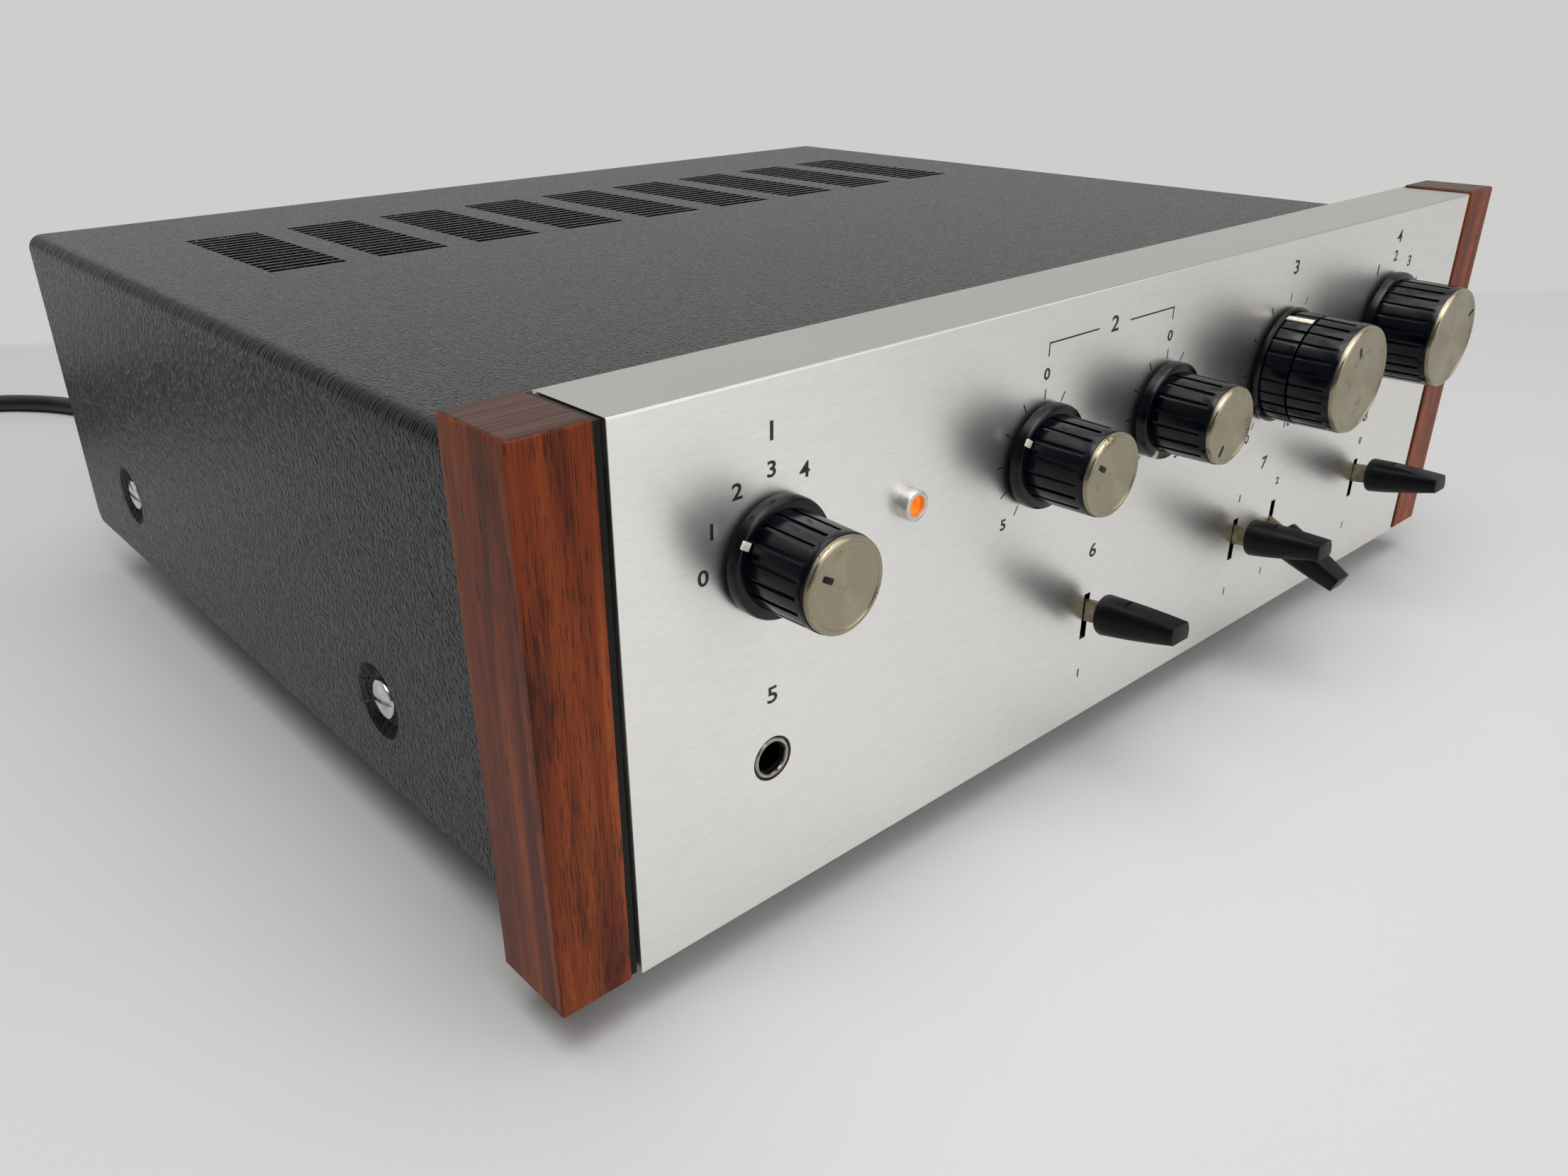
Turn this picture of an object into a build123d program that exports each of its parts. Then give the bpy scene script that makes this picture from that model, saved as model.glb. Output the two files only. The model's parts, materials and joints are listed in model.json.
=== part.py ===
from build123d import *
from math import cos, pi, radians, sin, tan
import os

# Compact integrated amplifier: wood cheeks, extruded front plate, vinyl-clad steel cover.

os.makedirs("parts", exist_ok=True)

# ---- overall (millimetres; +X right seen from the front, +Y to the back, +Z up) ----
width_over_cheeks = 330.0
floor_clearance = 10.0
touch_gap = 0.2  # between sheets that slide together
running_gap = 0.05  # radial clearance of a shaft in its bush

# ---- wood cheeks and the black strips inside them ----
cheek_width = 14.65
cheek_depth = 19.0
cheek_height = 103.0
cheek_edge = 0.7
strip_width = 1.3
strip_inset = 0.6
strip_pad_width = 2.05  # from the strip to the sub-panel's flange
strip_pad_inset = 1.6  # inside the sub-panel's flange at both ends

# ---- front plate: aluminium channel ----
plate_end_gap = 0.65
plate_step = 0.5  # of the plate's top under the cheeks'
plate_web = 2.2
plate_lip = 1.8
bottom_lip_depth = 12.0
plate_edge = 0.4

# ---- cover, pan and panels: steel sheet ----
sheet = 1.0
cheek_overhang = 7.1  # of a cheek past the cover's side
cover_drop = 7.7  # of the cover's top under the plate's
cover_rise = 6.4  # of the cover's lower edge over the plate's
cover_rear = 276.3  # behind the front face
cover_bend = 4.0
cover_corner = 4.0
pan_recess = 1.0  # pan floor above the cover's lower edge
pan_side_height = 34.0
screw_tab_width = 14.0
screw_tab_thickness = 1.5
subpanel_sheet = 1.2
subpanel_flange = 32.0
rear_panel_inset = 3.0
rear_panel_corner = 2.0
rear_flange = 12.0
panel_lip = 1.0  # of a round rear fitting over the edge of its hole
pan_slot = (3.0, 22.0)
pan_slot_pitch = (9.0, 28.0)
pan_slot_columns = 7
pan_slot_front = 110.0  # middle of the left group

# ---- vents in the cover ----
vent_columns = 9
vent_column_pitch = 29.3
vent_width = 20.3
vent_rows = 16
vent_pitch = 3.84
vent_slot = 2.3
vent_setback = 102.8  # first slot ahead of the cover's rear edge

# ---- screws in the cover's sides ----
dimple_radius = 9.5
dimple_floor_radius = 6.0
dimple_depth = 2.2
cover_screw_height = 37.3
cover_screw_front = 74.5
cover_screw_setback = 45.7  # rear screws ahead of the cover's rear edge
cover_screw_head = 4.5
cover_screw_head_height = 2.0
cover_screw_taper = 40.0
cover_screw_slot = (1.1, 0.9)  # width, depth
cover_screw_radius = 2.0
cover_screw_length = 5.0

# ---- feet ----
foot_radius = 14.0
foot_taper = 4.0
foot_edge = 1.2
foot_inset = 32.9  # from the cover's side
foot_front = 45.0
foot_setback = 36.3  # rear feet ahead of the cover's rear edge
foot_screw_radius = 2.0
foot_screw_head = 4.0
foot_screw_head_height = 2.6
foot_screw_cross = (5.0, 1.0, 1.0)  # length, width and depth of its recess
foot_screw_tail = 4.0  # past the foot's top
foot_bore = 5.2
foot_floor = 5.0  # rubber under the screw's head, above it the shank

# ---- rotary controls ----
control_drop = 30.3  # of the controls' axes under the plate's top
speaker_inset = 31.4  # from the plate's left end
bass_x = -44.5
treble_x = -1.0
volume_x = 52.0
selector_inset = 40.9  # from the plate's right end
knob_gap = 0.8
shaft_radius = 3.0
inner_shaft_radius = 2.0
knob_bore_gap = 0.02
bush_radius = 4.75
bush_reach = 0.3  # in front of the front face
nut_flats = 11.0
nut_thickness = 2.0
nut_well_radius = 7.2
rib_groove = 0.8
rib_depth = 0.55
groove_stop = 1.7  # plain ring between the grooves and the cap
grip_taper = 0.3  # of a grip's radius from its rear to its front
skirt_edge = 0.5
cap_thickness = 1.3
cap_edge = 0.45
cap_inset = 0.2  # of a cap's radius inside its grip's
cap_cover = 3.0  # from the cap to the end of the shaft's bore
shaft_play = 0.5  # from the shaft's end to the end of its bore
cap_mark_length = 2.6
cap_mark_width = 1.1
mark_depth = 0.3

small_skirt = 10.8
small_skirt_thickness = 2.7
small_grip = 8.9
small_length = 16.2
small_ribs = 18

large_skirt = 14.6
large_skirt_thickness = 2.4
large_grip = 13.2
large_length = 17.5
large_ribs = 26

balance_length = 8.6
balance_skirt = 14.0
balance_skirt_thickness = 1.3
ring_gap = 0.5
volume_length = 18.9
index_width = 1.6
index_length = 1.7
index_bar_length = 6.4

# index directions, degrees clockwise from straight up, as seen from the front
speaker_index = -60.0
bass_index = -60.0
treble_index = -150.0
volume_index = -20.0
balance_index = -20.0
selector_index = 60.0

# ---- lever switches ----
lever_x = {"loudness": -20.8, "tape_1": 43.9, "tape_2": 63.0}
mode_lever_offset = 2.9  # from the selector's axis
lever_angle = {"loudness": 7.0, "tape_1": 7.0, "tape_2": -24.0, "mode": 7.0}
slot_height = 37.5
slot_width = 2.2
slot_length = 11.5
slot_play = 2.0  # of the sub-panel's slots over the plate's
pivot_depth = 6.0
pivot_lift = 0.9  # over the middle of the slot
pivot_pin = 1.0
blade_thickness = 1.4
blade_height = 5.0
blade_tail = 3.0
blade_in_cap = 8.0
cap_start = 10.9
lever_length = 29.9
lever_cap_radius = 4.7
lever_cap_wedge = 6.0  # from the cap's base to the start of its flats
lever_cap_step = 0.35  # of the flats under the cap's surface where they start
lever_cap_edge = 0.6
lever_tip_edge = 0.3
lever_tip_height = 3.8
lever_tip_width = 6.8
switch_width = 8.0
switch_height = 25.0
switch_depth = 16.0
switch_cavity_depth = 7.0

# ---- behind the rotary controls ----
switch_plate = (28.0, 26.0)
switch_plate_thickness = 1.2
switch_body_radius = 12.5
switch_body_depth = 5.0
switch_post_radius = 1.6
switch_post_offset = 11.5
switch_shaft_end = 24.0
wafer_radius = 14.5
wafer_thickness = 1.6
wafer_depths = (13.0, 20.0)
tone_pot_radius = 11.5
tone_lug = (16.0, 8.0)
pot_depth = 9.0
volume_pot_radius = 12.0
volume_pot_front = 8.0
volume_pot_neck = (8.0, 3.0)  # radius, length between the two sections
shaft_end_gap = 0.3

# ---- lamp and phones jack ----
lamp_x = -83.6
bezel_radius = 3.0
bezel_length = 2.8
bezel_edge = 0.45
bezel_sleeve = 2.3
bezel_sleeve_length = 6.0
lens_radius = 1.7
lens_inset = 0.7
lens_length = 5.0
bulb_radius = 1.5
bulb_length = 7.0
lamp_holder = (1.0, 5.0)  # wall over the sleeve, length
jack_height = 41.7
jack_well_radius = 4.5
jack_ring_radius = 4.1
jack_ring_inset = 0.4
jack_bore = 3.2
jack_bore_length = 28.0
jack_body = (15.0, 21.0, 31.0)  # width, height, depth

# ---- inside ----
core_width, core_height, core_depth = 70.0, 58.0, 34.0
core_leg = 22.0
core_window = 12.0
core_yoke = 11.5
coil_overhang = 12.0
winding_gap = 0.2
core_lug = 9.0
core_lug_thickness = 1.5
winding_corner = 4.0
transformer_inset = 62.9  # from the cover's side to its middle
transformer_setback = 61.3  # from the cover's rear edge to its middle
board_thickness = 1.6
board_left = -45.0
board_front = 65.0
board_margin = 15.7  # from the pan's wall
board_standoff = 8.0
standoff_radius = 3.5
tone_board = (30.0, 30.0)  # past the two tone controls, height
capacitor_radius = 12.5
capacitor_height = 46.0
capacitor_edge = 1.2
capacitor_x = (-18.0, 14.0)
capacitor_inset = 25.0  # from the board's rear edge
sink_left = 22.0
sink_margin = 2.0  # inside the board's right edge
sink_setback = 80.3  # front of its base ahead of the cover's rear edge
sink_gap = 11.0  # from the board
sink_base = 3.0
sink_fin = 22.0
sink_fin_thickness = 1.6
sink_fins = 13
sink_height = 72.0
transistor_offsets = (-38.0, -14.0, 14.0, 38.0)  # from the sink's middle
transistor_height = 42.0
transistor_flange = (24.0, 16.0, 1.6)  # height, width, thickness
transistor_can = (6.5, 6.0)  # radius, length

# ---- rear connectors ----
socket_columns = 8
socket_pitch = 13.0
socket_row_pitch = 15.0
socket_first_x = 34.0
socket_height = 52.0
socket_radius = 4.15
socket_length = 9.5
socket_bore = 1.65
socket_flange = 5.4
socket_plate = 1.6
socket_plate_margin = 8.0
terminal_x = (-58.0, 0.0)
terminal_width, terminal_height, terminal_depth = 48.0, 24.0, 7.0
terminal_z = 50.0
terminal_ways = 4
terminal_lip = 3.0
terminal_base = 2.0
terminal_body = 10.0
tab_rise = 4.0
tab_gap = 3.0
wire_bore = 1.3
wire_drop = 7.0
wire_depth = 1.5
fuse_x = -75.0
fuse_z = 82.0
fuse_cap_radius = 7.0
fuse_cap_length = 7.0
fuse_slot = (8.0, 1.4, 1.0)  # length, width, depth
fuse_body_length = 28.0
ground_x = 14.0
ground_z = 84.0
ground_stud = 2.0
ground_nut = 4.6
ground_nut_length = 5.0
ground_length = 9.0
ground_tail = 6.0

# ---- mains lead ----
cord_diameter = 7.0
cord_x = -100.0
cord_z = 44.0
relief_length = 26.0
relief_tip = 4.6
relief_root = 6.4
relief_flange = (8.4, 2.0)  # radius, thickness
relief_neck = 6.0  # through the panel
coil_turn_radius = 37.5
coil_turns_wide = 2
coil_turns_high = 3
coil_centre = (-211.5, 444.0)
plug_pin_radius = 2.0
plug_pin_length = 19.0
plug_pin_pitch = 18.6
plug_width, plug_height, plug_length = 35.0, 13.7, 32.0
plug_sleeve = 5.0
plug_sleeve_length = 14.0
plug_sleeve_tail = (4.4, 4.0)  # radius, length behind the sleeve's root
plug_setback = 24.0  # the sleeve's root in front of the coil's middle
plug_shoulder = 0.55  # of the plug's width at the sleeve

# ---- places worked out from the sizes above ----
front_reach = (
    lever_length * cos(radians(7.0)) + lever_tip_height / 2 * sin(radians(7.0)) - pivot_depth
)
panel_back = cover_rear - rear_panel_inset
rear_reach = panel_back - sheet + socket_length + socket_plate
face = (front_reach - rear_reach) / 2  # the front plate's front face, in the part's own frame

cheek_inner = width_over_cheeks / 2 - cheek_width
strip_inner = cheek_inner - strip_width
subpanel_width = 2 * (strip_inner - strip_pad_width)
plate_half = strip_inner - plate_end_gap
plate_bottom = floor_clearance
plate_top = floor_clearance + cheek_height - plate_step
control_height = plate_top - control_drop
speaker_x = speaker_inset - plate_half
selector_x = plate_half - selector_inset
control_places = [(x, control_height) for x in (speaker_x, bass_x, treble_x, volume_x, selector_x)]
lever_x["mode"] = selector_x + mode_lever_offset
pivot_height = slot_height + pivot_lift
small_grip_front = small_grip - grip_taper
large_grip_front = large_grip - grip_taper
small_cap = small_grip_front - cap_inset
large_cap = large_grip_front - cap_inset

cover_width = width_over_cheeks - 2 * cheek_overhang
cover_top = plate_top - cover_drop
cover_bottom = plate_bottom + cover_rise
cover_screw_rear = cover_rear - cover_screw_setback
vent_front = cover_rear - vent_setback
pan_bottom = cover_bottom + pan_recess
pan_floor = pan_bottom + sheet
pan_half = cover_width / 2 - sheet - touch_gap
cover_ceiling = cover_top - sheet
deck_top = cover_ceiling - touch_gap
subpanel_back = plate_web + subpanel_sheet
cover_front = cheek_depth + touch_gap
panel_front = panel_back - sheet
foot_side = cover_width / 2 - foot_inset
foot_rear = cover_rear - foot_setback
foot_places = [(h * foot_side, face + y) for h in (-1, 1) for y in (foot_front, foot_rear)]

transformer_x = transformer_inset - cover_width / 2
transformer_y = cover_rear - transformer_setback
sink_y = cover_rear - sink_setback
board_right = pan_half - sheet - board_margin
board_rear = sink_y - sink_gap
sink_right = board_right - sink_margin
sink_middle = (sink_left + sink_right) / 2
capacitor_y = board_rear - capacitor_inset

front = Plane(origin=(0, face, 0), x_dir=(1, 0, 0), z_dir=(0, -1, 0))
side = Plane(origin=(0, face, 0), x_dir=(0, 1, 0), z_dir=(1, 0, 0))


def keep(piece, name):
    """Label a finished sub-part and write it."""
    piece.part.label = name
    export_step(piece.part, f"parts/{name}.step")


def control(x, z=control_height):
    """Plane on the front face at a control, its normal towards the user."""
    return Plane(origin=(x, face, z), x_dir=(1, 0, 0), z_dir=(0, -1, 0))


def clock(radius, angle):
    """Point at an angle clockwise from straight up."""
    return (radius * sin(radians(angle)), radius * cos(radians(angle)))


# ================= cabinet =================
def wood_cheek(hand):
    middle = hand * (width_over_cheeks - cheek_width) / 2
    with BuildPart() as cheek:
        with BuildSketch(front):
            with Locations((middle, floor_clearance + cheek_height / 2)):
                Rectangle(cheek_width, cheek_height)
        extrude(amount=-cheek_depth)
        fillet(cheek.edges(), cheek_edge)
    return cheek


keep(wood_cheek(-1), "wood_cheek_left")
keep(wood_cheek(1), "wood_cheek_right")

with BuildPart() as end_strips:
    strip_middle = (strip_inner + cheek_inner) / 2
    strip_height = cheek_height - 2 * strip_inset
    with BuildSketch(front.offset(-strip_inset)):
        for hand in (-1, 1):
            with Locations((hand * strip_middle, floor_clearance + cheek_height / 2)):
                Rectangle(strip_width, strip_height)
    extrude(amount=strip_inset - cheek_depth)
    # the pads that carry the cheeks on the sub-panel's side flanges
    pad_height = deck_top - pan_floor - 2 * strip_pad_inset
    with BuildSketch(front.offset(-plate_web - touch_gap)):
        for hand in (-1, 1):
            with Locations((hand * (strip_inner - strip_pad_width / 2), (pan_floor + deck_top) / 2)):
                Rectangle(strip_pad_width, pad_height)
    extrude(amount=plate_web + touch_gap - cheek_depth)
keep(end_strips, "end_strips")

with BuildPart() as faceplate:
    with BuildSketch(side.offset(-plate_half)):
        with BuildLine():
            Polyline(
                (0, plate_bottom),
                (bottom_lip_depth, plate_bottom),
                (bottom_lip_depth, plate_bottom + plate_lip),
                (plate_web, plate_bottom + plate_lip),
                (plate_web, plate_top - plate_lip),
                (cheek_depth, plate_top - plate_lip),
                (cheek_depth, plate_top),
                (0, plate_top),
                close=True,
            )
        make_face()
    extrude(amount=2 * plate_half)
    front_edges = faceplate.edges().filter_by(Axis.X).group_by(Axis.Y)[0]
    fillet(front_edges, plate_edge)
    with BuildSketch(front):
        with Locations(*control_places):
            Circle(nut_well_radius)
        with Locations((lamp_x, control_height)):
            Circle(bezel_sleeve + touch_gap)
        with Locations((speaker_x, jack_height)):
            Circle(jack_well_radius)
        with Locations(*[(x, slot_height) for x in lever_x.values()]):
            Rectangle(slot_width, slot_length)
    extrude(amount=-plate_web, mode=Mode.SUBTRACT)
keep(faceplate, "faceplate")

# ================= steelwork =================
with BuildPart() as front_subpanel:
    middle_z = (pan_floor + deck_top) / 2
    with BuildSketch(front.offset(-plate_web)):
        with Locations((0, middle_z)):
            Rectangle(subpanel_width, deck_top - pan_floor)
    extrude(amount=-subpanel_flange)
    with BuildSketch(front.offset(-subpanel_back)):
        with Locations((0, middle_z - subpanel_sheet)):
            Rectangle(subpanel_width - 2 * subpanel_sheet, deck_top - pan_floor)
    extrude(amount=-subpanel_flange, mode=Mode.SUBTRACT)
    with BuildSketch(front.offset(-plate_web)):
        with Locations(*control_places):
            Circle(bush_radius + touch_gap / 2)
        with Locations((lamp_x, control_height)):
            Circle(bezel_sleeve + touch_gap)
        with Locations((speaker_x, jack_height)):
            Circle(jack_ring_radius + touch_gap / 2)
        with Locations(*[(x, slot_height) for x in lever_x.values()]):
            Rectangle(slot_width, slot_length + slot_play)
    extrude(amount=-subpanel_sheet, mode=Mode.SUBTRACT)
keep(front_subpanel, "front_subpanel")

with BuildPart() as bottom_pan:
    tray_front = face + cover_front + touch_gap
    tray_length = face + panel_back - tray_front
    # folded tray under the cover
    with BuildSketch(Plane.XY.offset(pan_bottom)):
        with Locations((0, tray_front + tray_length / 2)):
            Rectangle(2 * pan_half, tray_length)
    extrude(amount=pan_side_height)
    with BuildSketch(Plane.XY.offset(pan_floor)):
        with Locations((0, tray_front + tray_length / 2)):
            Rectangle(2 * (pan_half - sheet), tray_length)
    extrude(amount=pan_side_height, mode=Mode.SUBTRACT)
    # tongue under the front sub-panel
    with BuildSketch(Plane.XY.offset(pan_bottom)):
        with Locations((0, (face + plate_web + tray_front) / 2)):
            Rectangle(subpanel_width, tray_front - face - plate_web)
    extrude(amount=sheet)
    # standoffs under the main board
    with BuildSketch(Plane.XY.offset(pan_floor)):
        with Locations(
            *[
                (x, face + y)
                for x in (board_left + 2 * standoff_radius, board_right - 2 * standoff_radius)
                for y in (board_front + 2 * standoff_radius, board_rear - 2 * standoff_radius)
            ]
        ):
            Circle(standoff_radius)
    extrude(amount=board_standoff)
    # cooling slots, foot holes and cover screw holes
    with BuildSketch(Plane.XY.offset(pan_bottom)):
        with Locations((sink_middle, face + sink_y + sink_fin / 2), (transformer_x, face + pan_slot_front)):
            with GridLocations(*pan_slot_pitch, pan_slot_columns, 2):
                Rectangle(*pan_slot)
        with Locations(*foot_places):
            Circle(foot_screw_radius + touch_gap / 2)
    extrude(amount=sheet, mode=Mode.SUBTRACT)
    with BuildSketch(side.offset(-pan_half)):
        with Locations((cover_screw_front, cover_screw_height), (cover_screw_rear, cover_screw_height)):
            Circle(dimple_radius + touch_gap)
    extrude(amount=2 * pan_half, mode=Mode.SUBTRACT)
    # tabs behind the cover's dimples, where its screws bite
    tab_outer = cover_width / 2 - dimple_depth - sheet - touch_gap
    tab_height = cover_screw_height + screw_tab_width / 2 - pan_floor
    for hand in (-1, 1):
        tab_plane = side.offset(hand * tab_outer)
        for y in (cover_screw_front, cover_screw_rear):
            with BuildSketch(tab_plane):
                with Locations((y, pan_floor + tab_height / 2)):
                    Rectangle(screw_tab_width, tab_height)
                with Locations((y, cover_screw_height)):
                    Circle(cover_screw_radius + touch_gap / 2, mode=Mode.SUBTRACT)
            extrude(amount=-hand * screw_tab_thickness)
keep(bottom_pan, "bottom_pan")

with BuildPart() as top_cover:
    half = cover_width / 2
    cover_height = cover_top - cover_bottom
    cover_length = cover_rear - cover_front
    with BuildSketch(front.offset(-cover_front)):
        with Locations((0, cover_bottom + cover_height / 2)):
            Rectangle(cover_width, cover_height)
    extrude(amount=-cover_length)
    top_edges = top_cover.edges().filter_by(Axis.Y).group_by(Axis.Z)[-1]
    fillet(top_edges, cover_bend)
    with BuildSketch(front.offset(-cover_front)):
        with BuildLine():
            inner_bend = cover_bend - sheet
            inner_half = half - sheet
            bend_start = cover_ceiling - inner_bend
            flat_half = inner_half - inner_bend
            Polyline(
                (-inner_half, bend_start),
                (-inner_half, cover_bottom),
                (inner_half, cover_bottom),
                (inner_half, bend_start),
            )
            RadiusArc((inner_half, bend_start), (flat_half, cover_ceiling), -inner_bend)
            Line((flat_half, cover_ceiling), (-flat_half, cover_ceiling))
            RadiusArc((-flat_half, cover_ceiling), (-inner_half, bend_start), -inner_bend)
        make_face()
    extrude(amount=-cover_length, mode=Mode.SUBTRACT)
    # rounded lower rear corners of both sides
    corner_edges = top_cover.edges().filter_by(Axis.X).group_by(Axis.Z)[0].group_by(Axis.Y)[-1]
    fillet(corner_edges, cover_corner)
    # pressed dimples with their screw holes
    for hand in (-1, 1):
        for y in (cover_screw_front, cover_screw_rear):
            wall = Plane(
                origin=(hand * half, face + y, cover_screw_height), x_dir=(0, 1, 0), z_dir=(-hand, 0, 0)
            )
            with BuildSketch(wall):
                Circle(dimple_radius)
            with BuildSketch(wall.offset(dimple_depth + sheet)):
                Circle(dimple_floor_radius)
            loft()
            with BuildSketch(wall):
                Circle(dimple_radius - sheet)
            with BuildSketch(wall.offset(dimple_depth)):
                Circle(dimple_floor_radius - sheet / 4)
            loft(mode=Mode.SUBTRACT)
            with BuildSketch(wall.offset(dimple_depth)):
                Circle(cover_screw_radius + touch_gap / 2)
            extrude(amount=sheet, mode=Mode.SUBTRACT)
    # cooling slots
    first_row = face + vent_front + vent_slot / 2
    with BuildSketch(Plane.XY.offset(cover_ceiling)):
        with Locations((0, first_row + (vent_rows - 1) * vent_pitch / 2)):
            with GridLocations(vent_column_pitch, vent_pitch, vent_columns, vent_rows):
                Rectangle(vent_width, vent_slot)
    extrude(amount=sheet, mode=Mode.SUBTRACT)
keep(top_cover, "top_cover")

with BuildPart() as cover_screws:
    for hand in (-1, 1):
        for y in (cover_screw_front, cover_screw_rear):
            seat = Plane(
                origin=(hand * (cover_width / 2 - dimple_depth), face + y, cover_screw_height),
                x_dir=(0, 1, 0),
                z_dir=(hand, 0, 0),
            )
            with BuildSketch(seat):
                Circle(cover_screw_head)
            extrude(amount=cover_screw_head_height / 2)
            with BuildSketch(seat.offset(cover_screw_head_height / 2)):
                Circle(cover_screw_head)
            extrude(amount=cover_screw_head_height / 2, taper=cover_screw_taper)
            with BuildSketch(seat.offset(cover_screw_head_height)):
                Rectangle(2 * cover_screw_head, cover_screw_slot[0])
            extrude(amount=-cover_screw_slot[1], mode=Mode.SUBTRACT)
            with BuildSketch(seat):
                Circle(cover_screw_radius)
            extrude(amount=-cover_screw_length)
keep(cover_screws, "cover_screws")

with BuildPart() as feet:
    with BuildSketch(Plane.XY.offset(pan_bottom)):
        with Locations(*foot_places):
            Circle(foot_radius)
    extrude(amount=-pan_bottom, taper=foot_taper)
    chamfer(feet.faces().group_by(Axis.Z)[0].edges(), foot_edge)
    with BuildSketch(Plane.XY):
        with Locations(*foot_places):
            Circle(foot_bore)
    extrude(amount=pan_bottom - foot_floor, mode=Mode.SUBTRACT)
    with BuildSketch(Plane.XY):
        with Locations(*foot_places):
            Circle(foot_screw_radius + touch_gap / 2)
    extrude(amount=pan_bottom, mode=Mode.SUBTRACT)
keep(feet, "feet")

with BuildPart() as foot_screws:
    screw_seat = pan_bottom - foot_floor
    cross_length, cross_width, cross_depth = foot_screw_cross
    with BuildSketch(Plane.XY.offset(screw_seat - foot_screw_head_height)):
        with Locations(*foot_places):
            Circle(foot_screw_head)
            Rectangle(cross_length, cross_width, mode=Mode.SUBTRACT)
            Rectangle(cross_width, cross_length, mode=Mode.SUBTRACT)
    extrude(amount=cross_depth)
    with BuildSketch(Plane.XY.offset(screw_seat - foot_screw_head_height + cross_depth)):
        with Locations(*foot_places):
            Circle(foot_screw_head)
    extrude(amount=foot_screw_head_height - cross_depth)
    with BuildSketch(Plane.XY.offset(screw_seat)):
        with Locations(*foot_places):
            Circle(foot_screw_radius)
    extrude(amount=foot_floor + foot_screw_tail)
keep(foot_screws, "foot_screws")

socket_places = [
    (socket_first_x + i * socket_pitch, socket_height + j * socket_row_pitch)
    for i in range(socket_columns)
    for j in (0, 1)
]
rear = front.offset(-panel_front)

with BuildPart() as rear_panel:
    rear_half = pan_half - sheet - touch_gap
    with BuildSketch(rear) as rear_outline:
        with Locations((0, (pan_floor + deck_top) / 2)):
            Rectangle(2 * rear_half, deck_top - pan_floor)
        chamfer(rear_outline.vertices().group_by(Axis.Y)[-1], rear_panel_corner)
        with Locations(*socket_places):
            Circle(socket_flange + touch_gap, mode=Mode.SUBTRACT)
        with Locations(*[(x, terminal_z) for x in terminal_x]):
            Rectangle(
                terminal_width - 2 * terminal_lip, terminal_height - 2 * terminal_lip, mode=Mode.SUBTRACT
            )
        with Locations((fuse_x, fuse_z)):
            Circle(fuse_cap_radius - panel_lip, mode=Mode.SUBTRACT)
        with Locations((ground_x, ground_z)):
            Circle(ground_stud + touch_gap / 2, mode=Mode.SUBTRACT)
        with Locations((cord_x, cord_z)):
            Circle(relief_root - panel_lip, mode=Mode.SUBTRACT)
    extrude(amount=-sheet)
    # the folded top flange under the cover
    with BuildSketch(rear):
        with Locations((0, deck_top - sheet / 2)):
            Rectangle(2 * (rear_half - rear_panel_corner), sheet)
    extrude(amount=rear_flange)
keep(rear_panel, "rear_panel")


# ================= knobs =================
def grip(plane, start, length, rear_radius, front_radius, ribs):
    """Ribbed, slightly tapered grip of a knob."""
    with BuildPart() as ribbed:
        with BuildSketch(plane.offset(start)):
            Circle(rear_radius)
        with BuildSketch(plane.offset(start + length)):
            Circle(front_radius)
        loft()
        with BuildSketch(plane.offset(start)):
            with PolarLocations(rear_radius, ribs):
                Rectangle(2 * rib_depth, rib_groove)
        extrude(amount=length - groove_stop, mode=Mode.SUBTRACT)
    return ribbed.part


def knob(x, skirt, skirt_thickness, grip_rear, grip_front, length, ribs, index):
    plane = control(x)
    start = knob_gap + skirt_thickness
    ribbed = grip(plane, start, length - start, grip_rear, grip_front, ribs)
    with BuildPart() as body:
        with BuildSketch(plane.offset(knob_gap)):
            Circle(skirt)
        extrude(amount=skirt_thickness)
        chamfer(body.faces().sort_by(Axis.Y)[0].edges(), skirt_edge)
        add(ribbed)
        # index notch in the skirt, filled with white paint
        spot = clock((skirt + grip_rear) / 2, index)
        with BuildSketch(plane.offset(start)):
            with Locations(Location((spot[0], spot[1], 0), (0, 0, -index))):
                Rectangle(index_width, index_length)
        extrude(amount=-mark_depth, mode=Mode.SUBTRACT)
        with BuildSketch(plane.offset(knob_gap)):
            Circle(shaft_radius + knob_bore_gap)
        extrude(amount=length - knob_gap - cap_cover, mode=Mode.SUBTRACT)
    return body


def knob_cap(x, radius, length, index, mark_radius):
    plane = control(x)
    with BuildPart() as cap:
        with BuildSketch(plane.offset(length)):
            Circle(radius)
        extrude(amount=cap_thickness)
        chamfer(cap.faces().sort_by(Axis.Y)[0].edges(), cap_edge)
        spot = clock(mark_radius, index)
        with BuildSketch(plane.offset(length + cap_thickness)):
            with Locations(Location((spot[0], spot[1], 0), (0, 0, -index))):
                Rectangle(cap_mark_width, cap_mark_length)
        extrude(amount=-mark_depth, mode=Mode.SUBTRACT)
    return cap


def shaft(x, radius, front_end, rear_end, bore=0.0):
    with BuildPart() as rod:
        with BuildSketch(control(x).offset(front_end)):
            Circle(radius)
            if bore:
                Circle(bore, mode=Mode.SUBTRACT)
        extrude(amount=-front_end - rear_end)
    return rod


pot_shaft_end = subpanel_back + pot_depth - 2
shaft_cover = cap_cover + shaft_play
small_sizes = (small_skirt, small_skirt_thickness, small_grip, small_grip_front, small_length, small_ribs)
for name, x, index in (
    ("speaker", speaker_x, speaker_index),
    ("bass", bass_x, bass_index),
    ("treble", treble_x, treble_index),
):
    keep(knob(x, *small_sizes, index), f"{name}_knob")
    keep(knob_cap(x, small_cap, small_length, index, small_cap * 0.55), f"{name}_knob_cap")
    rear_end = switch_shaft_end if name == "speaker" else pot_shaft_end
    keep(shaft(x, shaft_radius, small_length - shaft_cover, rear_end), f"{name}_shaft")

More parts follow.
